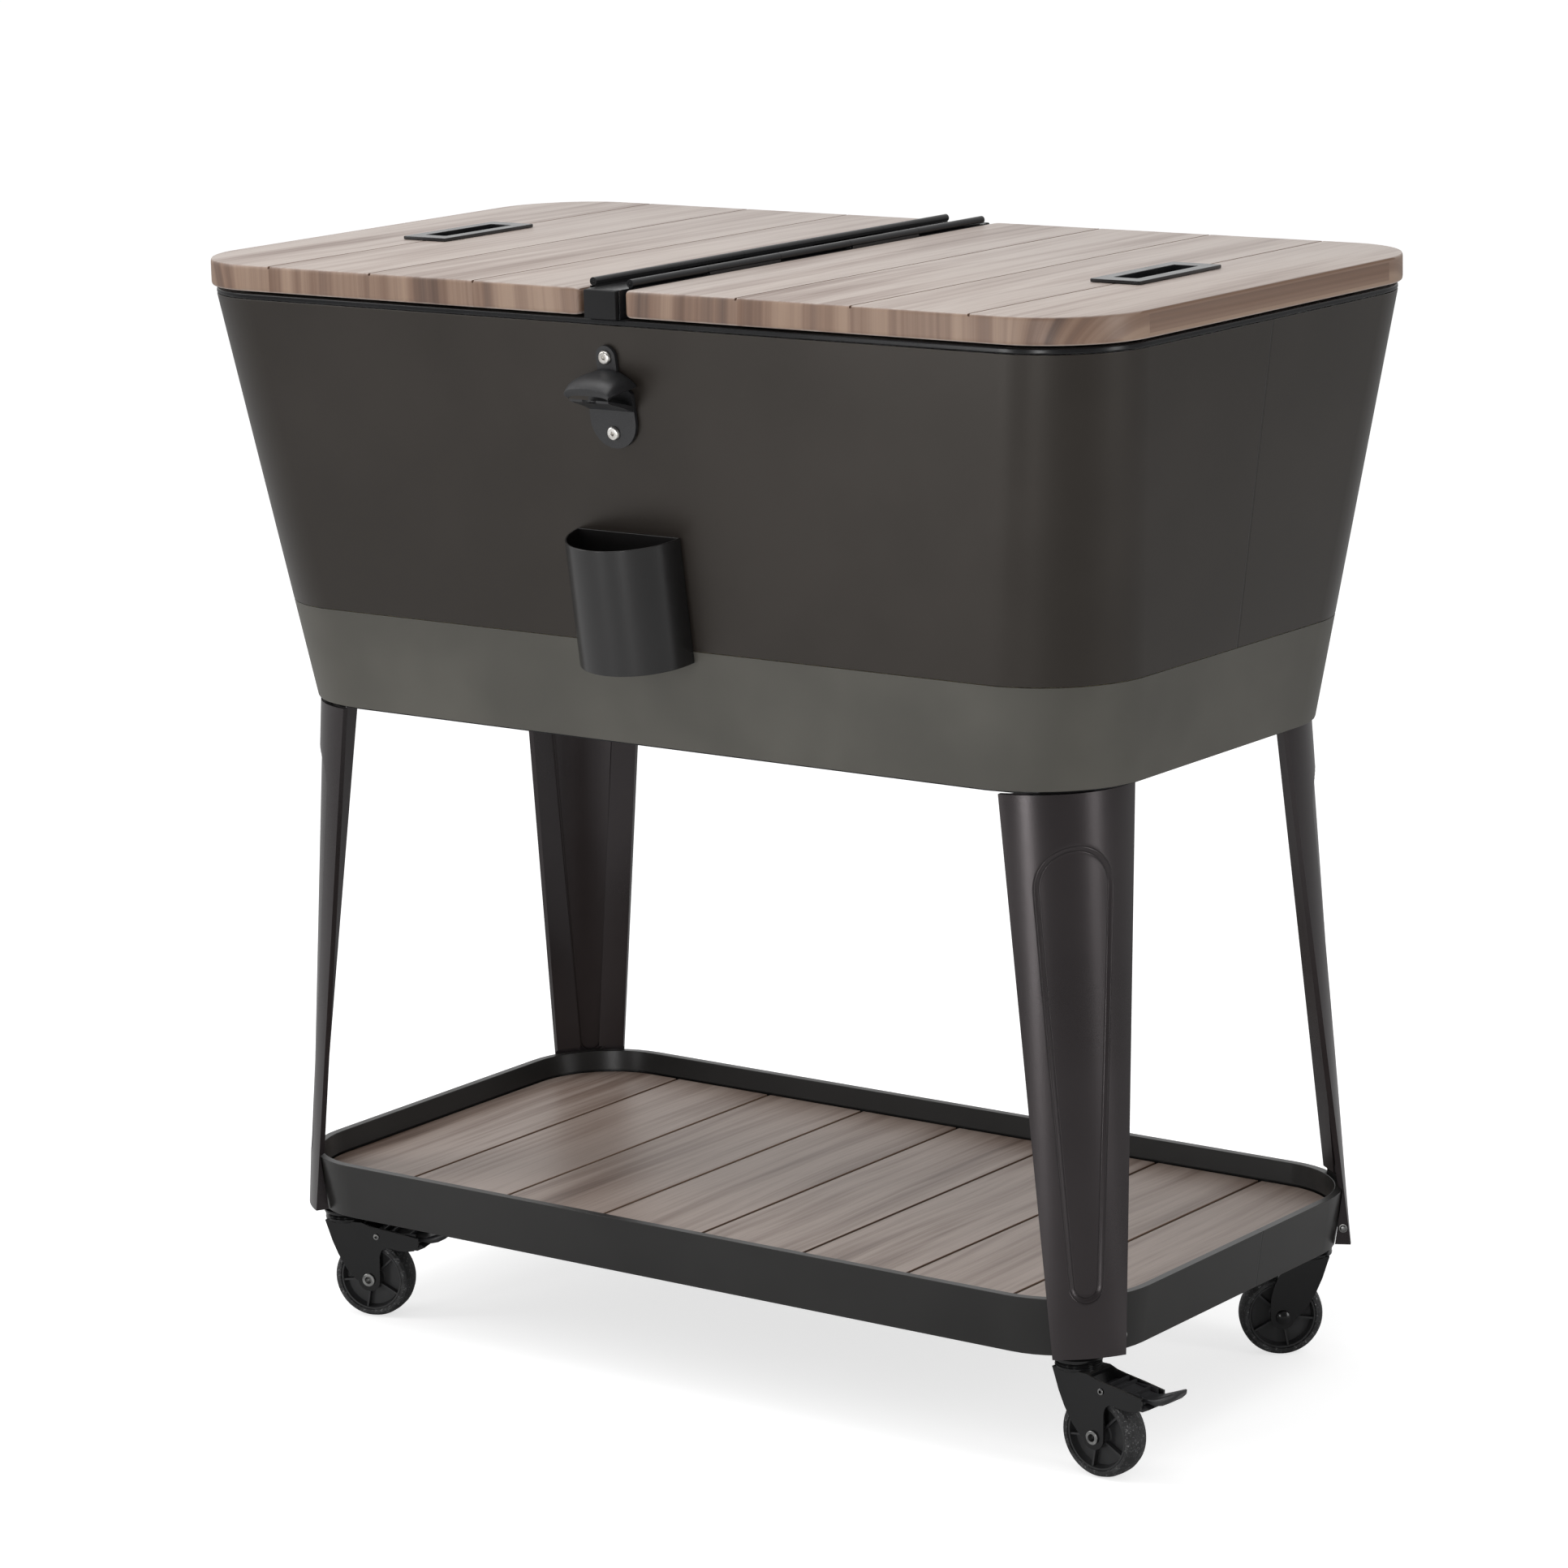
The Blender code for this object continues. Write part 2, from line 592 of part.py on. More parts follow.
def build_drain():
    """A spout through the back wall and the cap that turns on its neck."""
    z = drain_centre()
    wall_y = drain_wall_y()
    lean = DRAIN_FLANGE_RADIUS * math.tan(WALL_LEAN)
    seat = lean + GAP
    inner = -WALL_FOOT
    neck_end = seat + DRAIN_FLANGE + DRAIN_NECK
    profile = [
        (inner, DRAIN_BORE), (inner, DRAIN_RADIUS), (seat, DRAIN_RADIUS), (seat, DRAIN_FLANGE_RADIUS),
        (seat + DRAIN_FLANGE, DRAIN_FLANGE_RADIUS), (seat + DRAIN_FLANGE, DRAIN_RADIUS),
        (neck_end, DRAIN_RADIUS), (neck_end, DRAIN_BORE),
    ]
    spout = revolved(profile, (0, wall_y, z), (0, 1, 0), (1, 0, 0), DRAIN_STEPS, closed=True)
    add_piece("drain_spout", mesh_of("drain_spout", spout), BLACK_PLASTIC)

    start = seat + DRAIN_FLANGE + GAP
    end = neck_end + GAP
    bore = DRAIN_RADIUS + GAP
    cap_profile = [
        (start, bore), (start, DRAIN_CAP_RADIUS), (end + DRAIN_CAP_WALL, DRAIN_CAP_RADIUS),
        (end + DRAIN_CAP_WALL, 0), (end, 0), (end, bore),
    ]
    cap = revolved(cap_profile, (0, wall_y, z), (0, 1, 0), (1, 0, 0), DRAIN_STEPS, closed=True)
    turn = add_empty("drain_cap_axis", (0, wall_y, z))
    add_piece("drain_cap", mesh_of("drain_cap", cap), BLACK_PLASTIC, turn)


def build_bar():
    """The bar across the tub's mouth, with its lower beam and end caps."""
    upper_z = COLLAR_TOP_Z + GAP
    half_length = LID_HALF_Y - GAP - (BAR_CAP - BAR_CAP_PROUD)
    beam_z = COLLAR_TOP_Z - BEAM_DEPTH
    mouth = BODY_TOP_HALF_Y - (BODY_TOP_Z - beam_z) * math.tan(WALL_LEAN) - wall_inset(beam_z) - GAP
    neck_half = BAR_HALF_WIDTH - BAR_WALL
    neck_foot, neck_top = COLLAR_TOP_Z - BAR_WALL, upper_z + BAR_WALL
    corner = Vector((BAR_HALF_WIDTH, half_length, 0))
    upper = add_box(bmesh.new(), (*-corner.xy, upper_z), (*corner.xy, BAR_TOP_Z))
    beam = add_box(bmesh.new(), (-BEAM_HALF_WIDTH, -mouth, beam_z), (BEAM_HALF_WIDTH, mouth, COLLAR_TOP_Z))
    neck = add_box(bmesh.new(), (-neck_half, GAP - mouth, neck_foot), (neck_half, mouth - GAP, neck_top))
    steps = [("UNION", neck), ("UNION", beam)]
    add_piece("center_bar", combined("center_bar", upper, steps), BLACK_STEEL)
    for name, side in (("front", -1), ("back", 1)):
        near = side * (half_length + GAP)
        far = side * (LID_HALF_Y + BAR_CAP_PROUD)
        low = (-BAR_HALF_WIDTH, min(near, far), upper_z)
        high = (BAR_HALF_WIDTH, max(near, far), BAR_TOP_Z)
        cap = add_box(bmesh.new(), low, high)
        outer = [edge for edge in cap.edges if all(abs(vert.co.y - far) < WELD for vert in edge.verts)]
        bmesh.ops.bevel(
            cap, geom=outer, offset=BAR_CAP_BEVEL, segments=2, profile=0.5, affect="EDGES", material=-1
        )
        add_piece("bar_cap_" + name, mesh_of("bar_cap_" + name, cap), BLACK_STEEL)


def lid_outline(side, z, inset, end_inset):
    """One lid's outline: small corners beside the bar, large ones at its outer end."""
    points = []
    inner_radius = LID_END_ROUND
    low_x, high_x = LID_INNER_X + end_inset, LID_HALF_X - inset
    half_y = LID_HALF_Y - inset
    outer = LID_RADIUS - inset
    corners = (
        (high_x - outer, half_y - outer, outer, 0, CORNER_STEPS),
        (low_x + inner_radius, half_y - inner_radius, inner_radius, 1, 2),
        (low_x + inner_radius, inner_radius - half_y, inner_radius, 2, 2),
        (high_x - outer, outer - half_y, outer, 3, CORNER_STEPS),
    )
    for centre_x, centre_y, radius, quarter, steps in corners:
        for step in range(steps + 1):
            angle = (quarter + step / steps) * math.pi / 2
            x = centre_x + radius * math.cos(angle)
            points.append(Vector((side * x, centre_y + radius * math.sin(angle), z)))
    return points


def lid_rings(side):
    """Outlines up the lid's edge, rounded at the bottom and the top."""
    low, high = [], []
    for step in range(LID_ROUND_STEPS + 1):
        angle = step / LID_ROUND_STEPS * math.pi / 2
        draw = 1 - math.sin(angle)
        rise = LID_END_ROUND * (1 - math.cos(angle))
        insets = (LID_EDGE_ROUND * draw, LID_END_ROUND * draw)
        low.append(lid_outline(side, LID_Z + rise, *insets))
        high.append(lid_outline(side, LID_TOP_Z - rise, *insets))
    return low + high[::-1]


def build_panel(name, side, hinge):
    """The lid's plank panel, with its grooves and the pocket for the handle."""
    width = LID_HALF_X - LID_INNER_X
    grooves = bmesh.new()
    for share in LID_PLANK_SHARES:
        centre = side * (LID_INNER_X + width * share)
        add_box(
            grooves, (centre - LID_GROOVE / 2, -LID_HALF_Y - OVERRUN, LID_TOP_Z - LID_GROOVE),
            (centre + LID_GROOVE / 2, LID_HALF_Y + OVERRUN, LID_TOP_Z + OVERRUN),
        )
    spare = CUP_WALL + GAP
    heights = (LID_TOP_Z - CUP_DEPTH - spare, LID_TOP_Z + OVERRUN)
    pocket = lofted([handle_ring(side, CUP_HALF_X, CUP_HALF_Y, z, HANDLE_CORNER, -spare) for z in heights])
    steps = [("DIFFERENCE", grooves), ("DIFFERENCE", pocket)]
    panel = combined("lid_panel_" + name, lofted(lid_rings(side)), steps)
    add_piece("lid_panel_" + name, panel, WOOD, hinge)


def build_plug(name, side, hinge):
    """The insulated block under a lid that fills the tub's mouth."""
    mouth = wall_inset(BODY_TOP_Z) + PLUG_CLEARANCE
    low_x, high_x = BEAM_HALF_WIDTH + PLUG_CLEARANCE, BODY_TOP_HALF_X - mouth
    half_y = BODY_TOP_HALF_Y - mouth
    top = LID_Z - GAP

    def ring(z, inset):
        half_x = (high_x - low_x) / 2
        flat = rounded_ring(half_x - inset, half_y - inset, PLUG_RADIUS - inset, z, SMALL_CORNER_STEPS)
        return moved(flat, (side * (low_x + high_x) / 2, 0, 0))

    plug = lofted([ring(top - PLUG_DEPTH, PLUG_TAPER), ring(top - PLUG_TAPER, 0), ring(top, 0)])
    add_piece("lid_plug_" + name, mesh_of("lid_plug_" + name, plug), LINER_WHITE, hinge)


def build_seal(name, side, hinge):
    """The seal round a lid's underside, lying on the collar and the beam."""
    low_x, high_x = BEAM_HALF_WIDTH - GASKET_WIDTH, BODY_TOP_HALF_X - GASKET_INSET
    half_y = BODY_TOP_HALF_Y - GASKET_INSET
    top = GASKET_Z + GASKET

    def ring(z, inset):
        half_x = (high_x - low_x) / 2
        radius = PLUG_RADIUS + GASKET_WIDTH - inset
        flat = rounded_ring(half_x - inset, half_y - inset, radius, z, SMALL_CORNER_STEPS)
        return moved(flat, (side * (low_x + high_x) / 2, 0, 0))

    outer, inner = (ring(GASKET_Z, 0), ring(top, 0)), (ring(top, GASKET_WIDTH), ring(GASKET_Z, GASKET_WIDTH))
    seal = lofted([*outer, *inner], closed=True)
    add_piece("lid_gasket_" + name, mesh_of("lid_gasket_" + name, seal), RUBBER, hinge)


def handle_ring(side, half_x, half_y, z, radius, inset=0.0):
    """An outline round a lid handle's centre, drawn in by an inset."""
    flat = rounded_ring(half_x - inset, half_y - inset, radius - inset, z, HANDLE_CORNER_STEPS)
    return moved(flat, (side * HANDLE_CENTRE_X, HANDLE_CENTRE_Y, 0))


def build_handle(name, side, hinge):
    """A raised bezel with a finger cup let into the lid."""
    seat = LID_TOP_Z + GAP
    top = seat + BEZEL_HEIGHT
    floor = LID_TOP_Z - CUP_DEPTH

    def cup(z, inset):
        return handle_ring(side, CUP_HALF_X, CUP_HALF_Y, z, HANDLE_CORNER, inset)

    def bezel(z, inset):
        return handle_ring(side, BEZEL_HALF_X, BEZEL_HALF_Y, z, HANDLE_CORNER, inset)

    handle = lofted(
        [
            cup(floor - CUP_WALL, -CUP_WALL), cup(seat, -CUP_WALL), bezel(seat, 0),
            bezel(top - BEZEL_EDGE, 0), bezel(top, BEZEL_EDGE), cup(top, -BEZEL_EDGE),
            cup(top - BEZEL_EDGE, 0), cup(floor, 0),
        ]
    )
    add_piece("handle_cup_" + name, mesh_of("handle_cup_" + name, handle), BLACK_PLASTIC, hinge)


def knuckle_spans():
    """The low and high Y of each knuckle, front to back, with a gap between neighbours."""
    length = 2 * HINGE_HALF_LENGTH / HINGE_KNUCKLES
    low = -HINGE_HALF_LENGTH
    return [
        (low + length * i + GAP / 2, low + length * (i + 1) - GAP / 2) for i in range(HINGE_KNUCKLES)
    ]


def hinge_rod(bm, side, low_y, high_y, radius, steps):
    """A cylinder along a hinge's axis."""
    x = side * HINGE_X
    return add_cylinder(bm, (x, low_y, HINGE_Z), (x, high_y, HINGE_Z), radius, steps)


def hinge_leaf(name, side, low_x, high_x, own, tab_rise):
    """A leaf with its own knuckles along the top, bored for the pin."""
    plain_top = HINGE_Z - KNUCKLE_RADIUS - GAP
    foot = plain_top - HINGE_LEAF_DEPTH
    spans = knuckle_spans()
    leaf = add_box(bmesh.new(), (low_x, spans[0][0] + GAP, foot), (high_x, spans[-1][1] - GAP, plain_top))
    tabs = bmesh.new()
    barrels = bmesh.new()
    for low_y, high_y in own:
        add_box(
            tabs, (low_x + WELD, low_y + 2 * GAP, plain_top - HINGE_LEAF),
            (high_x - WELD, high_y - 2 * GAP, HINGE_Z - tab_rise),
        )
        hinge_rod(barrels, side, low_y, high_y, KNUCKLE_RADIUS, KNUCKLE_STEPS)
    half_bore = HINGE_HALF_LENGTH + OVERRUN
    bore = hinge_rod(bmesh.new(), side, -half_bore, half_bore, HINGE_PIN_RADIUS + GAP, ROUND_STEPS)
    return combined(name, leaf, [("UNION", tabs), ("UNION", barrels), ("DIFFERENCE", bore)])


def build_hinge(name, side, hinge):
    """The long hinge beside the bar: a fixed leaf, a leaf on the lid's end, and the pin."""
    spans = knuckle_spans()
    near = BAR_HALF_WIDTH + GAP
    fixed_x = sorted((side * near, side * (near + HINGE_LEAF)))
    fixed_name = "hinge_leaf_bar_" + name
    fixed = hinge_leaf(fixed_name, side, *fixed_x, spans[0::2], HINGE_PIN_RADIUS + 2 * GAP)
    add_piece(fixed_name, fixed, BLACK_STEEL)
    far = LID_INNER_X - GAP
    moving_x = sorted((side * (far - HINGE_LEAF), side * far))
    moving_name = "hinge_leaf_lid_" + name
    moving = hinge_leaf(moving_name, side, *moving_x, spans[1::2], 0.0)
    add_piece(moving_name, moving, BLACK_STEEL, hinge)
    pin = hinge_rod(bmesh.new(), side, -HINGE_HALF_LENGTH, HINGE_HALF_LENGTH, HINGE_PIN_RADIUS, ROUND_STEPS)
    add_piece("hinge_pin_" + name, mesh_of("hinge_pin_" + name, pin), BRIGHT_STEEL)


def build_lids():
    for name, side in (("left", -1), ("right", 1)):
        hinge = add_empty("lid_axis_" + name, (side * HINGE_X, 0, HINGE_Z))
        build_panel(name, side, hinge)
        build_plug(name, side, hinge)
        build_seal(name, side, hinge)
        build_handle(name, side, hinge)
        build_hinge(name, side, hinge)


def mix(low, high, share):
    return low + (high - low) * share


class LegLine:
    """The leg's outer skin line at one height, a bowed arc from the front side to the end side.

    It wraps the tray's corner at the tray's top edge and runs straight from there to the tub.
    """

    def __init__(self, z):
        share = (z - TRAY_TOP_Z) / (LEG_TOP_Z - TRAY_TOP_Z)
        clear = TRAY_RADIUS + LEG_SHEET + GAP + LEG_WRAP_CLEARANCE
        corner = Vector((TRAY_HALF_X - TRAY_RADIUS, TRAY_HALF_Y - TRAY_RADIUS))
        wrap = [
            corner + clear * Vector((math.cos(angle), math.sin(angle)))
            for angle in (LEG_WRAP_FRONT_ANGLE, LEG_WRAP_SIDE_ANGLE)
        ]
        wrap_bulge = clear * (1 - math.cos((LEG_WRAP_FRONT_ANGLE - LEG_WRAP_SIDE_ANGLE) / 2))
        top_x = BODY_FOOT_HALF_X - LEG_TOP_INSET_X
        top_y = BODY_FOOT_HALF_Y - LEG_TOP_INSET_Y
        top = [Vector((top_x - LEG_TOP_RUN_X, top_y)), Vector((top_x, top_y - LEG_TOP_RUN_Y))]
        self.start = mix(wrap[0], top[0], share)
        end = mix(wrap[1], top[1], share)
        bulge = mix(wrap_bulge, LEG_TOP_BULGE, share)
        chord = end - self.start
        half = chord.length / 2
        self.radius = (half * half + bulge * bulge) / (2 * bulge)
        self.sweep = 2 * math.asin(half / self.radius)
        self.along = chord.normalized()
        self.out = Vector((-self.along.y, self.along.x))
        self.centre = (self.start + end) / 2 - self.out * (self.radius - bulge)

    def radial(self, share):
        angle = self.sweep * (share - 1 / 2)
        return self.out * math.cos(angle) + self.along * math.sin(angle)

    def point(self, share, depth):
        return self.centre + self.radial(share) * (self.radius - depth)

    def lip(self, end):
        """Outer and inner points of the folded edge, from the free lip to the skin, at end 0 or 1."""
        inward = -self.radial(end)
        toward = Vector((-inward.y, inward.x)) * (-1 if end else 1)
        lean = toward * math.cos(LEG_LIP_TILT) + inward * math.sin(LEG_LIP_TILT)
        edge = self.point(end, 0)
        fold = edge + inward * LEG_HEM
        tip = fold + lean * LEG_LIP
        sheet_in, sheet_on = inward * LEG_SHEET, toward * LEG_SHEET
        outer = [tip, fold, edge]
        inner = [tip - sheet_in, fold - sheet_in + sheet_on, edge + sheet_in + sheet_on]
        return outer, inner


def leg_levels():
    """Heights up the leg, each with the share of the panel's width there and its depth."""
    lips_start = TRAY_TOP_Z + LEG_LIP_CLEARANCE
    foot_apex = lips_start + GAP
    top_apex = LEG_TOP_Z - PANEL_TOP_DROP
    narrowest = PANEL_ARCH_SHARES[0]
    foot, top = [], []
    for share in PANEL_ARCH_SHARES:
        rise = 1 - math.sqrt(1 - share * share)
        depth = PANEL_DEPTH if share > narrowest else 0.0
        foot.append((foot_apex + PANEL_FOOT_ARCH * rise, share, depth))
        top.append((top_apex - PANEL_TOP_ARCH * rise, share, depth))
    ends = [(LEG_FOOT_Z, narrowest, 0.0), (lips_start, narrowest, 0.0)]
    return [*ends, *foot, *top[::-1], (LEG_TOP_Z, narrowest, 0.0)]


def leg_row(z, panel_share, depth):
    """Outer and inner points across the leg at one height."""
    line = LegLine(z)
    low, high = PANEL_SHARES
    middle = (low + high) / 2
    left, right = mix(middle, low, panel_share), mix(middle, high, panel_share)
    slope = PANEL_SLOPE_SHARE * panel_share
    columns = [
        (left / 2, 0.0), (left, 0.0), (left + slope, depth), (middle, depth), (right - slope, depth),
        (right, 0.0), ((right + 1) / 2, 0.0),
    ]
    outer, inner = line.lip(0)
    for share, sunk in columns:
        outer.append(line.point(share, sunk))
        inner.append(line.point(share, sunk + LEG_SHEET))
    far_outer, far_inner = line.lip(1)
    outer += far_outer[::-1]
    inner += far_inner[::-1]
    return [Vector((*point, z)) for point in outer], [Vector((*point, z)) for point in inner]


def sheet_solid(rows, present):
    """A folded sheet from rows of outer and inner points. present says which cells exist."""
    bm = bmesh.new()
    made = [[[bm.verts.new(point) for point in side] for side in row] for row in rows]
    last = len(rows[0][0]) - 1

    def corners(level, column):
        return [made[level][side][column] for side in (0, 1)]

    def there(level, column):
        return 0 <= level < len(rows) - 1 and 0 <= column < last and present(level, column)

    for level in range(len(rows) - 1):
        for column in range(last):
            if not there(level, column):
                continue
            a, b = corners(level, column), corners(level, column + 1)
            c, d = corners(level + 1, column + 1), corners(level + 1, column)
            for side in (0, 1):
                bm.faces.new((a[side], b[side], c[side], d[side]))
            for (first, second), (near_level, near_column) in (
                ((a, b), (level - 1, column)), ((d, c), (level + 1, column)),
                ((a, d), (level, column - 1)), ((b, c), (level, column + 1)),
            ):
                if not there(near_level, near_column):
                    bm.faces.new((first[0], second[0], second[1], first[1]))
    loose = [vert for vert in bm.verts if not vert.link_faces]
    bmesh.ops.delete(bm, geom=loose, context="VERTS")
    return bm


def leg_mesh(name):
    """The back right leg, of pressed sheet: bowed skin, sunk panel, folded edges and a top plate."""
    rows = [leg_row(*level) for level in leg_levels()]
    lip_cells = 2
    cells = len(rows[0][0]) - 1

    def present(level, column):
        return level > 0 or lip_cells <= column < cells - lip_cells

    skin = sheet_solid(rows, present)
    line = LegLine(LEG_TOP_Z)
    shares = [step / CORNER_STEPS for step in range(CORNER_STEPS + 1)]
    outline = [Vector((*line.point(share, LEG_SHEET / 2), LEG_TOP_Z - LEG_CAP_DROP)) for share in shares]
    cap = prism(outline, (0, 0, -LEG_CAP))
    return combined(name, skin, [("UNION", cap)])


def mirrored(mesh, side_x, side_y):
    """A copy of a mesh on another side of the object."""
    copy = mesh.copy()
    copy.transform(Matrix.Diagonal((side_x, side_y, 1, 1)))
    if side_x * side_y < 0:
        copy.flip_normals()
    return copy


def build_legs():
    model = leg_mesh("leg_back_right")
    for end, side_y in (("front", -1), ("back", 1)):
        for hand, side_x in (("left", -1), ("right", 1)):
            add_piece(f"leg_{end}_{hand}", mirrored(model, side_x, side_y), LEG_STEEL)


def build_tray():
    """The pan with its folded rim, and the plank board on ribs inside it."""
    floor_z = TRAY_BOTTOM_Z + TRAY_SHEET
    lip_z = TRAY_TOP_Z - TRAY_LIP_DROP
    under = TRAY_TOP_Z - TRAY_SHEET
    pan = lofted(
        [tray_ring(TRAY_BOTTOM_Z), tray_ring(TRAY_TOP_Z - TRAY_EDGE),
         tray_ring(TRAY_TOP_Z, TRAY_EDGE), tray_ring(TRAY_TOP_Z, TRAY_LIP), tray_ring(lip_z, TRAY_LIP),
         tray_ring(lip_z, TRAY_LIP - TRAY_SHEET), tray_ring(under, TRAY_LIP - TRAY_SHEET),
         tray_ring(under, TRAY_SHEET), tray_ring(floor_z, TRAY_SHEET)]
    )
    holes = bmesh.new()
    for side_x in (-1, 1):
        for side_y in (-1, 1):
            low = (side_x * CASTER_X, side_y * CASTER_Y, TRAY_BOTTOM_Z - OVERRUN)
            high = (side_x * CASTER_X, side_y * CASTER_Y, floor_z + OVERRUN)
            add_cylinder(holes, low, high, STEM_RADIUS + GAP, STEM_STEPS)
    add_piece("tray_pan", combined("tray_pan", pan, [("DIFFERENCE", holes)]), DARK_STEEL)

    edge = TRAY_LIP + GAP
    board_foot = BOARD_TOP_Z - BOARD_THICKNESS
    board = lofted([tray_ring(board_foot, edge), tray_ring(BOARD_TOP_Z, edge)])
    ribs = bmesh.new()
    for share in BOARD_RIB_SHARES:
        centre = TRAY_HALF_Y * share
        reach = TRAY_HALF_X * BOARD_RIB_REACH_SHARE
        if abs(centre) + TRAY_RADIUS > TRAY_HALF_Y:
            reach -= TRAY_RADIUS
        add_box(
            ribs, (-reach, centre - BOARD_RIB_WIDTH / 2, floor_z + GAP),
            (reach, centre + BOARD_RIB_WIDTH / 2, board_foot + TRAY_SHEET),
        )
    grooves = bmesh.new()
    pitch = 2 * (TRAY_HALF_X - edge) / BOARD_PLANKS
    for plank in range(1, BOARD_PLANKS):
        centre = edge - TRAY_HALF_X + pitch * plank
        add_box(
            grooves, (centre - GROOVE_WIDTH / 2, -TRAY_HALF_Y - OVERRUN, BOARD_TOP_Z - GROOVE_DEPTH),
            (centre + GROOVE_WIDTH / 2, TRAY_HALF_Y + OVERRUN, BOARD_TOP_Z + OVERRUN),
        )
    mesh = combined("tray_board", board, [("UNION", ribs), ("DIFFERENCE", grooves)])
    add_piece("tray_board", mesh, WOOD)


def fork_points(shares):
    return [(across * WHEEL_RADIUS, up * FORK_HEAD_Z) for across, up in shares]


def fork_outline(braked):
    """The fork seen from its side: head, front edge, eye round the axle, rear edge and brake arm."""
    points = fork_points(FORK_FRONT_SHARES)
    for step in range(CORNER_STEPS):
        angle = math.pi + (step + 1 / 2) / CORNER_STEPS * math.pi
        points.append(
            (TRAIL + FORK_EYE_RADIUS * math.cos(angle), WHEEL_RADIUS + FORK_EYE_RADIUS * math.sin(angle))
        )
    points.append((TRAIL + FORK_EYE_RADIUS, WHEEL_RADIUS))
    points += fork_points(BRAKE_ARM_SHARES if braked else PLAIN_FORK_BACK_SHARES)
    points.append((FORK_HEAD_REACH, FORK_HEAD_Z))
    return points


def brake_pivot():
    across, up = BRAKE_PIVOT_SHARES
    return across * WHEEL_RADIUS, up * FORK_HEAD_Z


def fork_bore(x, z, radius, steps):
    """A bore through both of the fork's cheeks."""
    reach = FORK_HALF_WIDTH + OVERRUN
    return add_cylinder(bmesh.new(), (x, -reach, z), (x, reach, z), radius + GAP, steps)


def fork_mesh(name, braked):
    """A pressed fork: two cheeks under a head plate that carries the lower raceway."""
    outline = [Vector((x, -FORK_HALF_WIDTH, z)) for x, z in fork_outline(braked)]
    fork = prism(outline, (0, 2 * FORK_HALF_WIDTH, 0))
    inner = FORK_HALF_WIDTH - FORK_SHEET
    head_foot = FORK_HEAD_Z - FORK_HEAD_THICKNESS
    room_x = 3 * WHEEL_RADIUS
    room = add_box(bmesh.new(), (-room_x, -inner, -OVERRUN), (room_x, inner, head_foot))
    raceway = add_cylinder(
        bmesh.new(), (0, 0, head_foot + FORK_SHEET), (0, 0, FORK_TOP_Z), RACEWAY_RADIUS, 2 * ROUND_STEPS
    )
    axle_bore = fork_bore(TRAIL, WHEEL_RADIUS, AXLE_RADIUS, 2 * ROUND_STEPS)
    steps = [("DIFFERENCE", room), ("UNION", raceway), ("DIFFERENCE", axle_bore)]
    if braked:
        slot_x = FORK_HEAD_REACH + FORK_SHEET
        slot = add_box(bmesh.new(), (slot_x, -inner, head_foot - OVERRUN), (room_x, inner, FORK_TOP_Z))
        pin_bore = fork_bore(*brake_pivot(), BRAKE_PIN_RADIUS, ROUND_STEPS)
        steps += [("DIFFERENCE", slot), ("DIFFERENCE", pin_bore)]
    return combined(name, fork, steps)


def wheel_mesh(name):
    """A wheel with a dished web on both sides, round its own centre."""
    half = WHEEL_HALF_WIDTH
    right = [(across * half, out * WHEEL_RADIUS) for across, out in WHEEL_SIDE_SHARES]
    bore = (half, AXLE_RADIUS + GAP)
    side = [bore, *right]
    profile = side + [(-along, out) for along, out in reversed(side)]
    wheel = revolved(profile, (0, 0, 0), (0, 1, 0), (0, 0, -1), WHEEL_STEPS, closed=True)
    return mesh_of(name, wheel)


def rivet_mesh(name, radius, head_radius, head):
    """A headed pin across the fork, round its own centre."""
    seat = FORK_HALF_WIDTH + GAP
    profile = [
        (-seat - head, 0), (-seat - head, head_radius), (-seat, head_radius), (-seat, radius),
        (seat, radius), (seat, head_radius), (seat + head, head_radius), (seat + head, 0),
    ]
    return mesh_of(name, revolved(profile, (0, 0, 0), (0, 1, 0), (0, 0, -1), ROUND_STEPS))


def mount_mesh(name):
    """The fixed half of the swivel: a flanged boss with a stem up through the pan."""
    edge = TRAY_EDGE
    neck = MOUNT_RADIUS - 2 * edge
    middle = MOUNT_Z + MOUNT_DEPTH / 2
    top = CASTER_HEIGHT + STEM_RISE
    profile = [
        (MOUNT_Z, 0), (MOUNT_Z, MOUNT_RADIUS - edge), (MOUNT_Z + edge, MOUNT_RADIUS),
        (middle, MOUNT_RADIUS), (middle + edge, neck), (CASTER_HEIGHT, neck),
        (CASTER_HEIGHT, STEM_RADIUS), (top, STEM_RADIUS), (top, 0),
    ]
    return mesh_of(name, revolved(profile, (0, 0, 0), (0, 0, 1), (1, 0, 0), STEM_STEPS))


def pedal_ring(x, z, thick, wide):
    """A flat bar's section, with its corners cut."""
    bevel = thick / 2
    corners = (
        (wide, bevel - thick), (wide, thick - bevel), (wide - bevel, thick), (bevel - wide, thick),
        (-wide, thick - bevel), (-wide, bevel - thick), (bevel - wide, -thick), (wide - bevel, -thick),
    )
    return [Vector((x, across, z + up)) for across, up in corners]


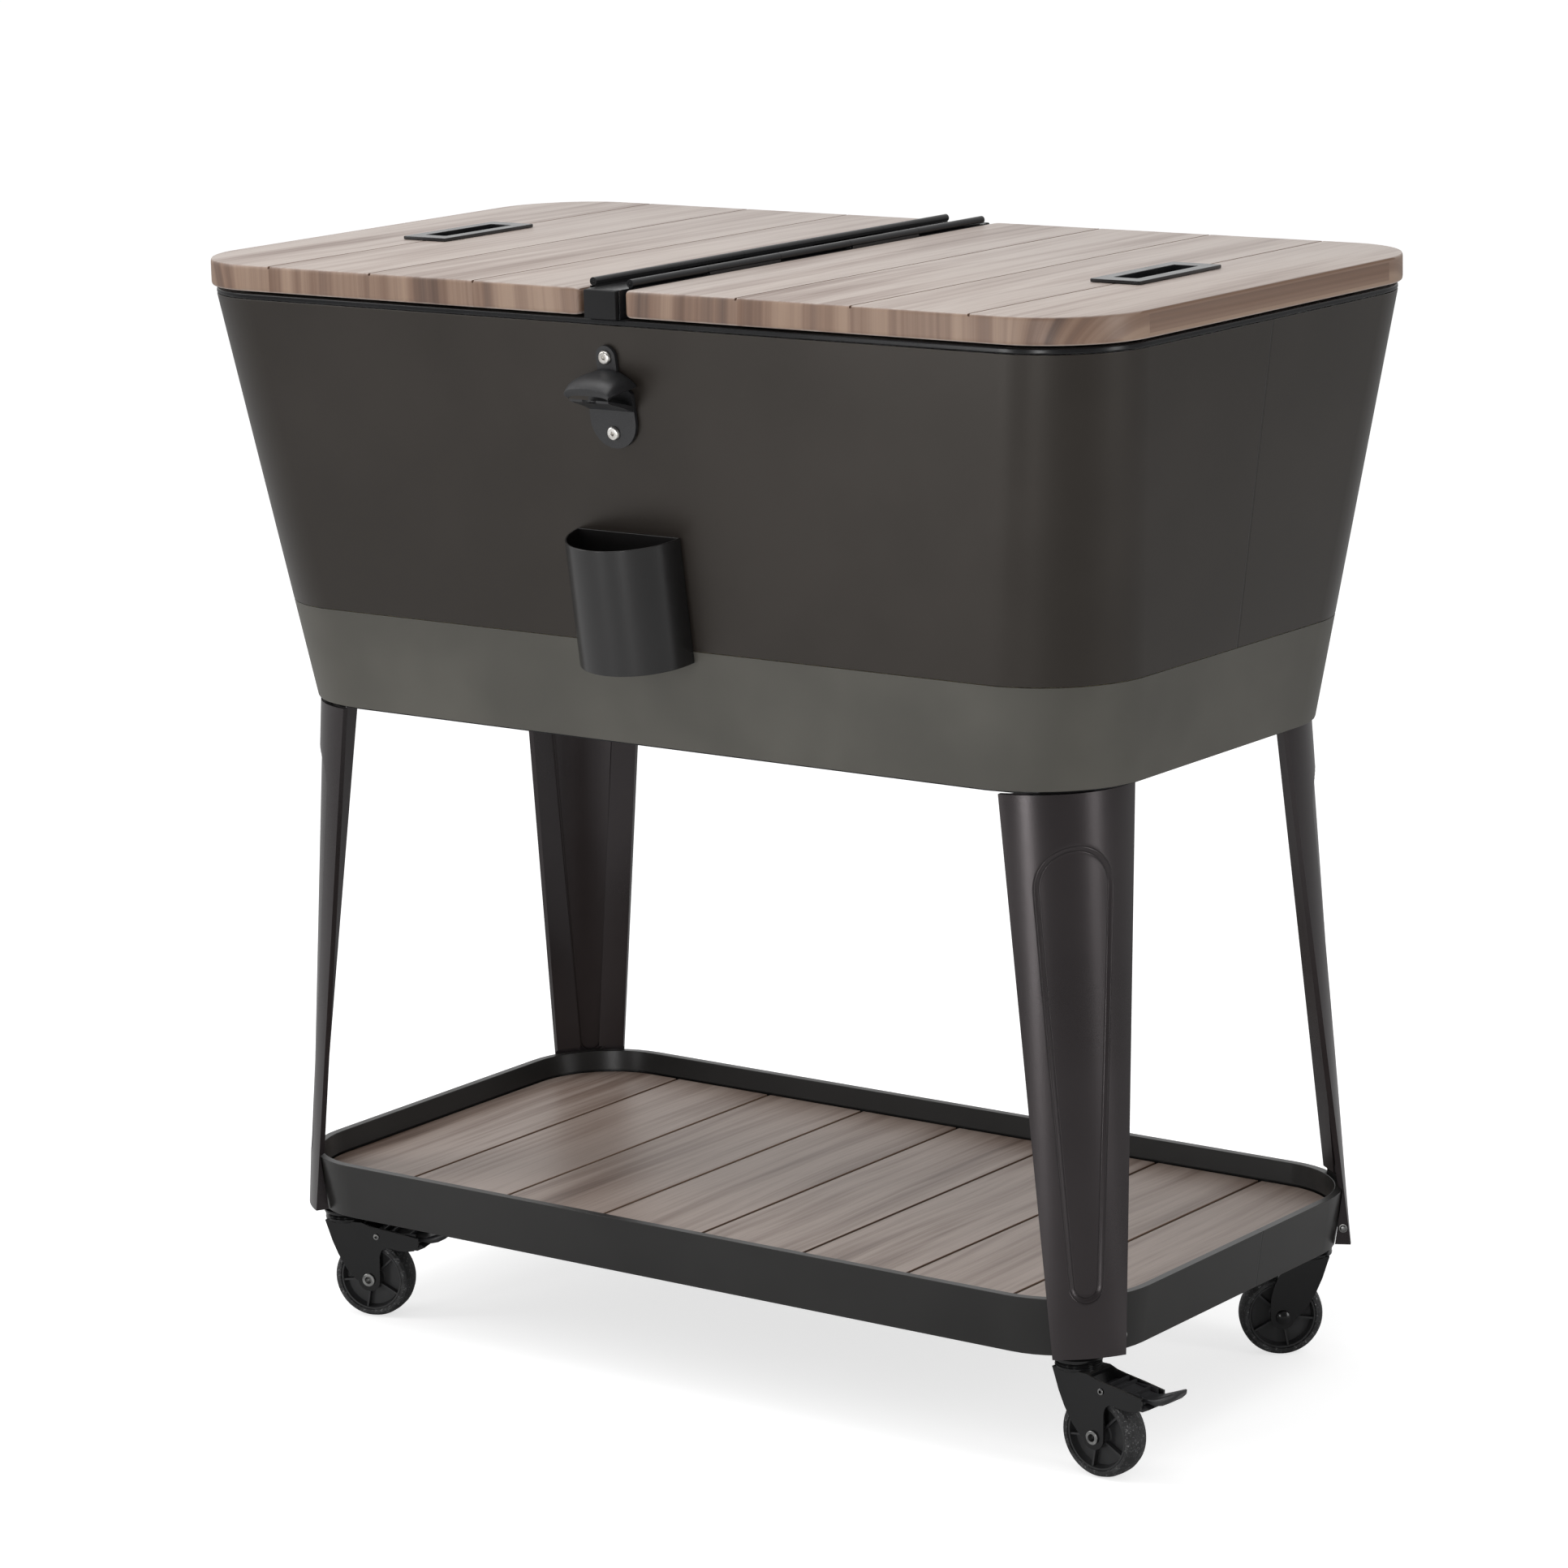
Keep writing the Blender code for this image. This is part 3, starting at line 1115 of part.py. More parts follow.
def pedal_mesh(name):
    """A brake pedal round its own pivot: a tongue with a round tip, a shoe over the tread, and a barrel."""
    pivot_x, pivot_z = brake_pivot()
    rings = []
    for across, up, half_thickness, half_width in PEDAL_SHARES:
        x, z = across * WHEEL_RADIUS - pivot_x, up * FORK_HEAD_Z - pivot_z
        rings.append(pedal_ring(x, z, half_thickness * WHEEL_RADIUS, half_width * WHEEL_RADIUS))
    shoe_half = PEDAL_BARREL_HALF - FORK_SHEET
    shoe_side = [Vector((x - pivot_x, -shoe_half, z - pivot_z)) for x, z in fork_points(PEDAL_SHOE_SHARES)]
    shoe = prism(shoe_side, (0, 2 * shoe_half, 0))
    barrel_ends = [(0, side * PEDAL_BARREL_HALF, 0) for side in (-1, 1)]
    barrel = add_cylinder(bmesh.new(), *barrel_ends, PEDAL_BARREL_RADIUS, KNUCKLE_STEPS)
    bore = fork_bore(0, 0, BRAKE_PIN_RADIUS, ROUND_STEPS)
    return combined(name, lofted(rings), [("UNION", shoe), ("UNION", barrel), ("DIFFERENCE", bore)])


def place_piece(name, mesh, look, parent, place=(0, 0, 0)):
    """A piece whose mesh lies round its own origin, set at a place under its parent."""
    piece = add_piece(name, mesh, look)
    piece.parent = parent
    piece.location = place
    return piece


def build_caster(corner):
    """One caster: fixed boss, swivelling fork with axle, wheel, and a brake pedal on the front ones."""
    end, hand = corner.split("_")
    side_x = -1 if hand == "left" else 1
    side_y = -1 if end == "front" else 1
    braked = end == "front"
    mount_name, fork_name = "caster_mount_" + corner, "caster_fork_" + corner
    swivel = add_empty(
        "caster_axis_" + corner, (side_x * CASTER_X, side_y * CASTER_Y, 0), turn=CASTER_HEADINGS[corner]
    )
    fixed = add_empty("caster_place_" + corner, (side_x * CASTER_X, side_y * CASTER_Y, 0))
    place_piece(mount_name, mount_mesh(mount_name), BLACK_STEEL, fixed)
    place_piece(fork_name, fork_mesh(fork_name, braked), BLACK_STEEL, swivel)
    axle_place = (TRAIL, 0, WHEEL_RADIUS)
    axle_name, wheel_name = "caster_axle_" + corner, "caster_wheel_" + corner
    axle = rivet_mesh(axle_name, AXLE_RADIUS, AXLE_HEAD_RADIUS, AXLE_HEAD)
    place_piece(axle_name, axle, BRIGHT_STEEL, swivel, axle_place)
    place_piece(wheel_name, wheel_mesh(wheel_name), RUBBER, swivel, axle_place)
    if braked:
        x, z = brake_pivot()
        pin_name, pedal_name = "brake_pin_" + corner, "brake_pedal_" + corner
        pin = rivet_mesh(pin_name, BRAKE_PIN_RADIUS, BRAKE_PIN_HEAD_RADIUS, BRAKE_PIN_HEAD)
        place_piece(pin_name, pin, BRIGHT_STEEL, swivel, (x, 0, z))
        place_piece(pedal_name, pedal_mesh(pedal_name), BLACK_PLASTIC, swivel, (x, 0, z))


def opener_plate_outline():
    """Tab round the upper screw, a neck, and a tongue round the lower screw."""
    tab, tongue = OPENER_TAB_RADIUS, OPENER_TONGUE_RADIUS
    steps = CORNER_STEPS
    points = []
    for step in range(steps + 1):
        angle = step / steps * math.pi
        points.append((tab * math.cos(angle), OPENER_SCREW_HALF + tab * math.sin(angle)))
    for step in range(steps + 1):
        angle = math.pi + step / steps * math.pi
        points.append((tongue * math.cos(angle), -OPENER_TONGUE_DROP + tongue * math.sin(angle)))
    return [Vector((x, y, GAP)) for x, y in points]


def build_opener():
    """A cast opener: screwed plate, arched hood over a mouth, and its two screws."""
    frame = wall_frame(OPENER_DROP)
    plate = prism(placed(opener_plate_outline(), frame), frame.to_3x3() @ Vector((0, 0, OPENER_PLATE)))
    rings = []
    for station in range(OPENER_HOOD_STATIONS):
        turn = mix(-OPENER_HOOD_SWEEP, OPENER_HOOD_SWEEP, station / (OPENER_HOOD_STATIONS - 1))
        x = OPENER_HOOD_HALF * math.sin(turn) / math.sin(OPENER_HOOD_SWEEP)
        reach = OPENER_HOOD_REACH * math.cos(turn)
        height = mix(OPENER_HOOD_HEIGHT / 2, OPENER_HOOD_HEIGHT, math.cos(turn))
        base = OPENER_PLATE / 2
        section = [(x, up * height, base + out * reach) for out, up in OPENER_HOOD_SHARES]
        rings.append(placed(section, frame))
    hood = lofted(rings)
    holes = bmesh.new()
    for drop in OPENER_SCREW_DROPS:
        screw_hole(holes, drop, 0.0, 2 * OPENER_PLATE)
    mesh = combined("bottle_opener", plate, [("UNION", hood), ("DIFFERENCE", holes)])
    add_piece("bottle_opener", mesh, BLACK_STEEL)


def build_screws():
    for name, (drop, side, plate) in screw_sites().items():
        frame = wall_frame(drop)
        seat = plate + 2 * GAP
        middle = SCREW_HEAD / 2
        profile = [
            (-BODY_SHEET, 0), (-BODY_SHEET, SCREW_SHANK_RADIUS), (seat, SCREW_SHANK_RADIUS),
            (seat, SCREW_HEAD_RADIUS), (seat + middle, SCREW_HEAD_RADIUS * math.cos(SMOOTH_ANGLE)),
            (seat + SCREW_HEAD, SCREW_SHANK_RADIUS), (seat + SCREW_HEAD, 0),
        ]
        axes = frame.to_3x3()
        centre = frame @ Vector((side, 0, 0))
        screw = revolved(profile, centre, axes @ Vector((0, 0, 1)), axes @ Vector((1, 0, 0)), ROUND_STEPS)
        add_piece(name, mesh_of(name, screw), BRIGHT_STEEL)


def build_catcher():
    """A half-round sheet cup, open at the top, screwed to the wall through its flat back."""
    frame = wall_frame(CATCHER_DROP)

    def ring(up, inset):
        radius = CATCHER_RADIUS - inset
        start = math.asin(inset / radius)
        points = []
        for step in range(CATCHER_STEPS + 1):
            angle = start + step / CATCHER_STEPS * (math.pi - 2 * start)
            points.append((radius * math.cos(angle), up, GAP + radius * math.sin(angle)))
        return placed(points, frame)

    foot = -CATCHER_HEIGHT
    cup = lofted(
        [ring(foot, 0), ring(0, 0), ring(0, CATCHER_SHEET), ring(foot + CATCHER_SHEET, CATCHER_SHEET)]
    )
    holes = bmesh.new()
    for side in (-1, 1):
        screw_hole(holes, CATCHER_DROP + CATCHER_SCREW_DROP, side * CATCHER_SCREW_HALF, 2 * CATCHER_SHEET)
    add_piece("cap_catcher", combined("cap_catcher", cup, [("DIFFERENCE", holes)]), BLACK_STEEL)


def main():
    clear_scene()
    build_shell()
    build_band()
    build_base_plate()
    build_insulation()
    build_liner()
    build_collar()
    build_drain()
    build_bar()
    build_lids()
    build_legs()
    build_tray()
    for corner in CASTER_HEADINGS:
        build_caster(corner)
    build_opener()
    build_catcher()
    build_screws()


main()
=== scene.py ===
"""Looks of the rolling patio cooler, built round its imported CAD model. Metres, +Z up, -Y is the front."""

import json
import math

import bmesh
import bpy
from mathutils import Matrix, Vector

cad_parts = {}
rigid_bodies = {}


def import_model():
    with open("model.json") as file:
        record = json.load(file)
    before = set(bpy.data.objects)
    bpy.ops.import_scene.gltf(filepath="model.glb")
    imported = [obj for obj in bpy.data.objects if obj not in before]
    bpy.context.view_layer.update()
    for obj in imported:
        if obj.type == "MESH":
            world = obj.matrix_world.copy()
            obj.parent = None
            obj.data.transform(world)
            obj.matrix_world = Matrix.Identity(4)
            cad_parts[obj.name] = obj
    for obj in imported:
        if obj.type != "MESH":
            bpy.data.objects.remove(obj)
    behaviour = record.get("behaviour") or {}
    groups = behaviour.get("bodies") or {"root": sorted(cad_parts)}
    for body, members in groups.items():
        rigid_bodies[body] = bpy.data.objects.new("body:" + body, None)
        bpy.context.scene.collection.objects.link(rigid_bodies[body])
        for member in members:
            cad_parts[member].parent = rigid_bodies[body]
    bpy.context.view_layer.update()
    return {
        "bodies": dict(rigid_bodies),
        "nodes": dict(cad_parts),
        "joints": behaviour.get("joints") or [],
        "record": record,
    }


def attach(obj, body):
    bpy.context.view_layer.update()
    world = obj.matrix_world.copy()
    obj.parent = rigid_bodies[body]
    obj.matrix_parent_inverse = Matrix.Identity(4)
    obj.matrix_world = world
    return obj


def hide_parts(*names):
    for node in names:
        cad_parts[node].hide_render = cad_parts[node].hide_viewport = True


MM = 0.001
DEGREE = math.pi / 180
GAP = 0.3 * MM
SAME_PLACE = 0.001 * MM
THROUGH = 50 * MM
SMOOTH = 32 * DEGREE
ON_AXLE = ((0, 0, 0), (0, 1, 0), (0, 0, -1))
UPRIGHT = ((0, 0, 0), (0, 0, 1), (1, 0, 0))
CORNERS = (("front", "left"), ("front", "right"), ("back", "left"), ("back", "right"))
SIDES = {"left": -1, "right": 1, "front": -1, "back": 1}

# Tub
BODY_FOOT = (397.3 * MM, 200 * MM, 87 * MM, 533.1 * MM)
BODY_TOP = (443 * MM, 246.5 * MM, 80 * MM, 870 * MM)
BAND_TOP_Z = 615.2 * MM
SHEET = 1.5 * MM
BAND_FLANGE = 14 * MM
MOUTH_INSET = 45 * MM
FLOOR_INSET = 48 * MM
LINER_FLOOR_Z = 575 * MM
LINER_WALL = 3 * MM
LINER_FILLET = 16 * MM
COLLAR_Z = 870.3 * MM
COLLAR_TOP_Z = 874.7 * MM
WALL_LEAN = math.atan((BODY_TOP[1] - BODY_FOOT[1]) / (BODY_TOP[3] - BODY_FOOT[3]))
SEAM_Y = 4 * MM
RIGHT_END = (200 * MM, 300 * MM)
LINER_RIM = 5 * MM

# Lids, bar and hinges
LID_HALF = (445.2 * MM, 248.7 * MM)
LID_RADIUS = 78 * MM
LID_INNER_X = 22 * MM
LID_Z = 877 * MM
LID_TOP_Z = 898 * MM
LID_END_ROUND = 3.5 * MM
LID_EDGE_ROUND = 1.2 * MM
GROOVE = 1.8 * MM
LID_PLANKS = 4
PLANK = (LID_HALF[0] - LID_INNER_X) / LID_PLANKS
BAR_HALF = 15.5 * MM
BAR_TOP_Z = 897.5 * MM
BAR_CAP = 5 * MM
BAR_PROUD = 3 * MM
BEAM_HALF = 36 * MM
BEAM = 13 * MM
NECK_HALF = 13 * MM
NECK_SINK = 2 * MM
HINGE_X = 18 * MM
HINGE_Z = 901.5 * MM
HINGE_HALF = 236 * MM
KNUCKLE = 3.2 * MM
KNUCKLES = 5
HINGE_PIN = 1.4 * MM
TAB_INSET = 0.01 * MM
LEAF = 1.2 * MM
LEAF_DEPTH = 18 * MM
HANDLE = (340 * MM, 2 * MM)
BEZEL = (22.5 * MM, 58 * MM)
BEZEL_RISE = 2.7 * MM
CUP = (11 * MM, 43 * MM)
CUP_DEPTH = 13 * MM
CUP_WALL = 1.6 * MM

# Tray and its board
TRAY = (411.3 * MM, 212.2 * MM, 80 * MM)
TRAY_Z = 97.2 * MM
TRAY_TOP_Z = 144.1 * MM
TRAY_FLARE = 7 * MM
TRAY_SHEET = 1.2 * MM
TRAY_LIP = 7 * MM
TRAY_LIP_DROP = 17 * MM
BOARD_TOP_Z = 125.7 * MM
BOARD = 10 * MM
BOARD_PLANKS = 8
BOARD_GROOVE = 3.2 * MM
BOARD_GROOVE_DEPTH = 1.6 * MM
RIB_HALF = 7 * MM
RIB_SHARES = (-0.72, -0.24, 0.24, 0.72)
TRAY_SEAM_Y = 31 * MM

# Legs
LEG_Z = 97.7 * MM
LEG_TOP_Z = 530.5 * MM
LEG_SHEET = 1.2 * MM
LEG_HEM = 4.6 * MM
LEG_LIP = 22 * MM
LEG_NOTCH = 3 * MM
LEG_LIP_TILT = 12 * DEGREE
LEG_WRAP = (65 * DEGREE, 19.8 * DEGREE)
LEG_FIT = 0.4 * MM
LEG_CLEAR = TRAY[2] + LEG_SHEET + GAP + LEG_FIT
LEG_TOP = (BODY_FOOT[0] - 9.1 * MM, BODY_FOOT[1] - 1 * MM)
LEG_TOP_RUN = (64.3 * MM, 89.7 * MM)
LEG_TOP_BULGE = 23.5 * MM
LEG_COLUMNS = 88
LEG_ROWS = 190
FOLD_CELLS = 9
LEG_CAP = 2 * MM
PANEL_SHARE = 0.475
PANEL_ENDS = ((154 * MM, 13 * MM), (458.5 * MM, 32.5 * MM))
PANEL_DEPTH = 1.7 * MM
PANEL_SLOPE = 4 * MM

# Casters. Their tables hold millimetres, along the heading and up, or up the stem and out from it
CASTER = (369.7 * MM, 169.6 * MM)
HEADINGS = {("front", "left"): 17, ("front", "right"): -4, ("back", "left"): 200, ("back", "right"): 220}
WHEEL = 34 * MM
WHEEL_HALF = 11.3 * MM
TRAIL = 24 * MM
MOUNT_Z = 88.5 * MM
MOUNT_TOP_Z = 96.9 * MM
MOUNT_RINGS = ((0, 17.6), (0.8, 18.9), (2, 19.5), (3.4, 19.5), (4.3, 18.4), (5, 17.6), (6.2, 17.4))
MOUNT_PLATE = 18.4 * MM
STEM = 5 * MM
STEM_RISE = 6.4 * MM
FORK_TOP_Z = 88.2 * MM
FORK_HEAD_Z = 83.7 * MM
FORK_CROWN = 3.5 * MM
FORK_HALF = 15 * MM
FORK_SHEET = 2 * MM
FORK_RACE = ((0, 18.3), (1.6, 18.5), (2.6, 17.6), (3.4, 18.4))
RACE_FOOT = 17 * MM
RACE_TOP = 17.4 * MM
FORK_FRONT = (
    (-14.3, 83.7), (-12.2, 77.5), (-8.4, 66), (-3.4, 54.6), (0.6, 47.6), (4.1, 41.9), (9.3, 36.2),
    (13.2, 32.6),
)
FORK_BACK = ((34.1, 42), (33.6, 50), (31.8, 58), (28.6, 66), (25, 73.5), (19, 83.7))
BRAKED_BACK = (
    (34.3, 50), (34.6, 55.5), (36.4, 60.2), (39.6, 62.4), (44, 62.9), (51.7, 61.3), (60, 61.1),
    (66, 62.2), (69.4, 64.5), (70.6, 68.5), (70.7, 73.2), (52, 76.6), (34, 79.4), (26, 81), (19, 83.7),
)
AXLE = 4 * MM
AXLE_BOSS = 10 * MM

# Wheel and tyre profiles: shares of the half width, and millimetres out from the axle
HUB = ((1, 8.5), (0.5, 9.6), (0.42, 10.5), (0.42, 24), (0.62, 25.4), (0.92, 25.8), (0.92, 27.2))
TREAD = ((0.5, 33.7), (0.86, 32.4), (1, 30.4), (1, 28), (0.9, 27.3))
WHEEL_RIBS = 5
WHEEL_RIB = (9 * MM, 25.6 * MM, 0.8 * MM)

# Brake pedal in millimetres: along the heading, up, half thick, half wide; and its shoe, ridges and rails
BRAKE_PIVOT = (32.3 * MM, 72.15 * MM)
BRAKE_PIN = 1.6 * MM
BRAKE_BARREL = (3.2 * MM, 11 * MM)
BRAKE_SLOT_X = 21 * MM
PEDAL = (
    (30, 73.4, 3, 9.4), (44, 74, 2.2, 9.4), (58, 71.8, 2, 9.2), (66, 70.4, 2, 8.6), (71, 70.4, 1.9, 8.4),
    (76, 70.7, 2.5, 10), (80, 71.5, 3.2, 11), (86, 73.4, 3.6, 11.4), (92, 76.2, 3.3, 10.6),
    (96.5, 79, 2.4, 8), (99.6, 81.6, 1, 4),
)
SHOE = ((58, 61.4), (66.9, 60.9), (73.4, 64), (70.6, 66.2), (68, 67), (68, 71), (58, 71))
SHOE_HALF = 9 * MM
RIDGES = (38, 45.5, 60)
RAILS = (-11.8, 9.8)

# Bottle opener and cap catcher, by their drop below the body's top edge
OPENER_DROP = 54 * MM
OPENER_SCREWS = 30 * MM
OPENER_PLATE = 3 * MM
OPENER_HEAD = 9.2 * MM
OPENER_WAIST = ((9.4, 14), (16, 7), (21.6, 2))
OPENER_FOOT = 22 * MM
OPENER_FOOT_DROP = 20.3 * MM
CATCHER_DROP = 163.5 * MM
CATCHER_HEIGHT = 101 * MM
CATCHER_RADIUS = 50 * MM
CATCHER_SHEET = 1.5 * MM
CATCHER_SCREW = (18 * MM, -26 * MM)

# The opener's hood in millimetres: reach, then half width, foot and crown outside and inside, and a power
HOOD = (
    (0.5, (25.2, 7.8, 20.8), (22.6, 6.6, 18.0), 1.4), (5, (25.0, 7.8, 21.0), (22.4, 6.6, 18.1), 1.7),
    (11, (24.7, 7.8, 20.6), (22.0, 6.5, 17.7), 2.1), (17, (24.2, 7.7, 19.7), (21.5, 6.3, 16.7), 2.45),
    (22, (23.7, 7.6, 18.5), (20.9, 5.9, 14.8), 2.7), (26, (23.2, 7.4, 17.0), (20.0, 5.2, 11.4), 2.8),
    (28.5, (22.7, 7.3, 15.6), (19.4, 4.0, 7.6), 2.7), (30, (22.3, 7.2, 14.5), (19.1, 3.5, 6.7), 2.5),
    (31.2, (22.0, 7.1, 13.5), (20.3, 5.3, 9.6), 2.4), (31.9, (21.7, 7.0, 12.8), (21.2, 6.4, 11.7), 2.3),
)

# The opener's jaw in millimetres: reach, half width, foot and top; and the notch in it: radius, height, reach
JAW = ((0.5, 21.8, -13.5, -8.5), (14, 20.6, -6.0, -2.6), (29, 18.8, 1.2, 3.2))
NOTCH = (7 * MM, 5 * MM, 31 * MM)

# Screws, and the bolts of the legs: the foot's profile is in millimetres along its axis and out from it
SCREW_SHANK = 2.4 * MM
SCREW_TIP = -1.4 * MM
SCREW_HEAD = 2.6 * MM
SCREW_CROWN = (4 * MM, 1.7 * MM)
SOCKET = (1.8 * MM, 0.8 * MM)
CAP_BOLT = (16 * MM, 5 * MM, 4 * MM)
FOOT_BOLT = (4.4 * MM, 14 * MM)
BOLT_PROFILE = ((0.05, 0), (0.05, 3.5), (0.8, 3.5), (0.9, 2.7), (2.3, 2), (2.8, 0))

# Camera, found from the photograph's own lines
CAMERA_PLACE = (2.5682, -3.4561, 1.3991)
CAMERA_AZIMUTH = 36.88 * DEGREE
CAMERA_PITCH = -12.23 * DEGREE
CAMERA_ROLL = -1.48 * DEGREE
CAMERA_LENS = 124.26

# Softboxes: name, place, what they face and size in metres, and watts
SOFTBOXES = (
    ("key_left", (-3.0, -2.0, 2.2), (0, 0, 0.6), (1.6, 2.2), 40),
    ("front_left", (-0.8, -2.7, 0.5), (0, -0.2, 0.5), (0.3, 0.9), 11),
    ("front_right", (0.95, -2.65, 0.45), (0, -0.2, 0.4), (0.25, 0.8), 12),
    ("side_right", (3.2, 0.1, 0.9), (0, 0, 0.4), (0.6, 1.5), 18),
    ("overhead", (-0.3, -0.4, 3.2), (0, 0, 0.5), (2.4, 2.0), 40),
)


def rgb(*levels):
    """A colour in 0 to 255 screen levels as the linear colour, with its alpha, that shaders take."""
    shares = [level / 255 for level in levels]
    return (*(v / 12.92 if v <= 0.04045 else ((v + 0.055) / 1.055) ** 2.4 for v in shares), 1)


def scaled(colour, factor, more=0.0):
    """A colour made darker or lighter."""
    return (*(min(1, channel * factor + more) for channel in colour[:3]), 1)


class Value:
    """A shader socket that takes part in Python expressions."""

    def __init__(self, tree, socket):
        self.tree, self.socket = tree, socket

    def node(self, kind, output=0, settings=None, **inputs):
        """Adds a node, with its settings first and then its sockets, named or numbered in_N."""
        made = self.tree.nodes.new(kind)
        for name, value in (settings or {}).items():
            if name == "stops":
                fill_ramp(made.color_ramp, value)
            else:
                setattr(made, name, value)
        for name, value in inputs.items():
            key = int(name[3:]) if name.startswith("in_") else name.replace("_", " ")
            self.link(value, made.inputs[key])
        return Value(self.tree, made.outputs[output])

    def link(self, value, socket):
        if isinstance(value, Value):
            self.tree.links.new(value.socket, socket)
        else:
            socket.default_value = value

    def math(self, operation, *others):
        values = {f"in_{i}": other for i, other in enumerate((self, *others))}
        return self.node("ShaderNodeMath", settings={"operation": operation}, **values)

    def __add__(self, other):
        return self.math("ADD", other)

    def __mul__(self, other):
        return self.math("MULTIPLY", other)

    def __sub__(self, other):
        return self.math("SUBTRACT", other)

    def __rsub__(self, other):
        return self * -1 + other

    def __truediv__(self, other):
        return self.math("DIVIDE", other)

    def size(self):
        return self.math("ABSOLUTE")

    def whole(self):
        return self.math("FLOOR")

    def step(self, low, high):
        """0 below low, 1 above high, smooth between."""
        settings = {"interpolation_type": "SMOOTHSTEP"}
        return self.node("ShaderNodeMapRange", settings=settings, Value=self, From_Min=low, From_Max=high)

    def band(self, centre, half, soft):
        """1 within half of a centre, falling to 0 over soft."""
        return 1 - (self - centre).size().step(half, half + soft)

    def mix(self, low, high):
        """The colour between two colours at this value."""
        settings = {"data_type": "RGBA", "clamp_factor": True}
        return self.node("ShaderNodeMix", output=2, settings=settings, in_0=self, in_6=low, in_7=high)

    def split(self):
        parts = self.tree.nodes.new("ShaderNodeSeparateXYZ")
        self.tree.links.new(self.socket, parts.inputs[0])
        return [Value(self.tree, parts.outputs[i]) for i in range(3)]

    def joined(self, y, z):
        return self.node("ShaderNodeCombineXYZ", in_0=self, in_1=y, in_2=z)

    def noise(self, scale, detail=3.0, roughness=0.5, distortion=0.0):
        """Noise over this place, as a value round 0.5."""
        return self.node(
            "ShaderNodeTexNoise", Vector=self, Scale=scale, Detail=detail, Roughness=roughness,
            Distortion=distortion,
        )


def fill_ramp(ramp, stops):
    while len(ramp.elements) < len(stops):
        ramp.elements.new(1)
    for element, (place, colour) in zip(ramp.elements, stops):
        element.position = place
        element.color = colour


class Finish:
    """A material with one Principled shader. Settings that don't vary go straight onto it."""

    def __init__(self, name, roughness=0.5, metallic=0.0, specular=0.5):
        self.name = name
        self.material = bpy.data.materials.new(name)
        self.material.use_nodes = True
        self.tree = self.material.node_tree
        self.shader = self.tree.nodes["Principled BSDF"]
        fixed = {"Roughness": roughness, "Metallic": metallic, "Specular IOR Level": specular}
        for name, value in fixed.items():
            self.shader.inputs[name].default_value = value
        coordinates = self.tree.nodes.new("ShaderNodeTexCoord")
        self.place = Value(self.tree, coordinates.outputs["Object"])
        self.normal = Value(self.tree, coordinates.outputs["Normal"])

    def set(self, **inputs):
        for name, value in inputs.items():
            self.place.link(value, self.shader.inputs[name.replace("_", " ")])
        return self

    def noises(self, *rows):
        """Noise over the object for each row of scale, detail and roughness."""
        return [self.place.noise(*row) for row in rows]

    def bump(self, height, distance, strength=1.0):
        """Raises the surface by a height in 0 to 1, times a distance in metres."""
        raised = self.place.node("ShaderNodeBump", Height=height, Distance=distance, Strength=strength)
        return self.set(Normal=raised)


def wood_film(name, tone, groove_colour, planks_x, plank, groove_half, top_z, roughness):
    """Printed walnut film: grain along Y on the faces, down the front edges, aslant round the corners. The
    edges are darker, partly from their own streaked print and partly from painted shade.
    """
    film = Finish(name, roughness=roughness, specular=0.5)
    x, y, z = film.place.split()
    facing_x, _, facing_z = film.normal.split()
    drop = z * -1 + top_z
    across = x.size() + drop * facing_x.size()
    index = ((x.size() - planks_x) / plank).whole()
    seed = index * 3.71 + x.step(-MM, MM) * 11.3
    wander = seed.joined(y * 2.2, across * 5).noise(1.0, 2.0) * 0.03
    lane = across + wander
    broad = (lane * 34 + seed * 5).joined(y * 1.6, seed).noise(1.0, 4.0, 0.55, 0.4)
    streak = (lane * 150 + seed * 9).joined(y * 3.5, seed).noise(1.0, 5.0, 0.6, 0.2)
    hair = (lane * 900).joined(y * 14, seed).noise(1.0, 2.0, 0.6)
    cloud = seed.joined(y * 3, across * 9).noise(1.0, 3.0, 0.5)
    figure = broad * 0.5 + streak * 0.32 + cloud * 0.18
    light, middle, dark = tone
    stops = [(0.36, dark), (0.46, middle), (0.54, light), (0.66, middle)]
    colour = figure.node("ShaderNodeValToRGB", settings={"stops": stops}, Fac=figure)
    veins = streak.step(0.62, 0.78) * broad.step(0.45, 0.6) * 0.55
    colour = veins.mix(colour, dark)
    colour = (hair.step(0.5, 0.75) * 0.22).mix(colour, dark)
    plank_tone = (seed * 1.7).joined(seed, 0).noise(3.0, 0.0).step(0.3, 0.7)
    colour = (plank_tone * 0.25).mix(colour, light)
    beside = (x.size() - planks_x) / plank
    from_groove = (beside - (beside + 0.5).whole()).size() * plank
    near = 1 - from_groove.step(groove_half * 0.9, groove_half * 1.3)
    below = 1 - z.step(top_z - 0.9 * MM, top_z - 0.2 * MM)
    inside = near * below * z.step(top_z - 2.2 * MM, top_z - 2 * MM)
    colour = inside.mix(colour, groove_colour)
    # Faces that don't face up take a darker streaked tone: the edges' own print, deepened as painted shade.
    edge = 1 - facing_z.size().step(0.2, 0.8)
    edge_grain_and_shade = (across * 34 + seed * 3).joined(seed, 0.5).noise(1.0, 5.0, 0.6)
    stops = [(0.34, rgb(78, 54, 40)), (0.47, rgb(116, 88, 70)), (0.62, rgb(150, 124, 104))]
    edge_grain_and_shade = edge_grain_and_shade.node("ShaderNodeValToRGB", settings={"stops": stops}, Fac=edge_grain_and_shade)
    colour = (edge * 0.9).mix(colour, edge_grain_and_shade)
    film.set(Base_Color=colour, Roughness=hair * 0.12 + roughness - 0.06 + inside * 0.3)
    return film.bump(hair * 0.5 + streak * 0.5, 0.12 * MM, 0.35)


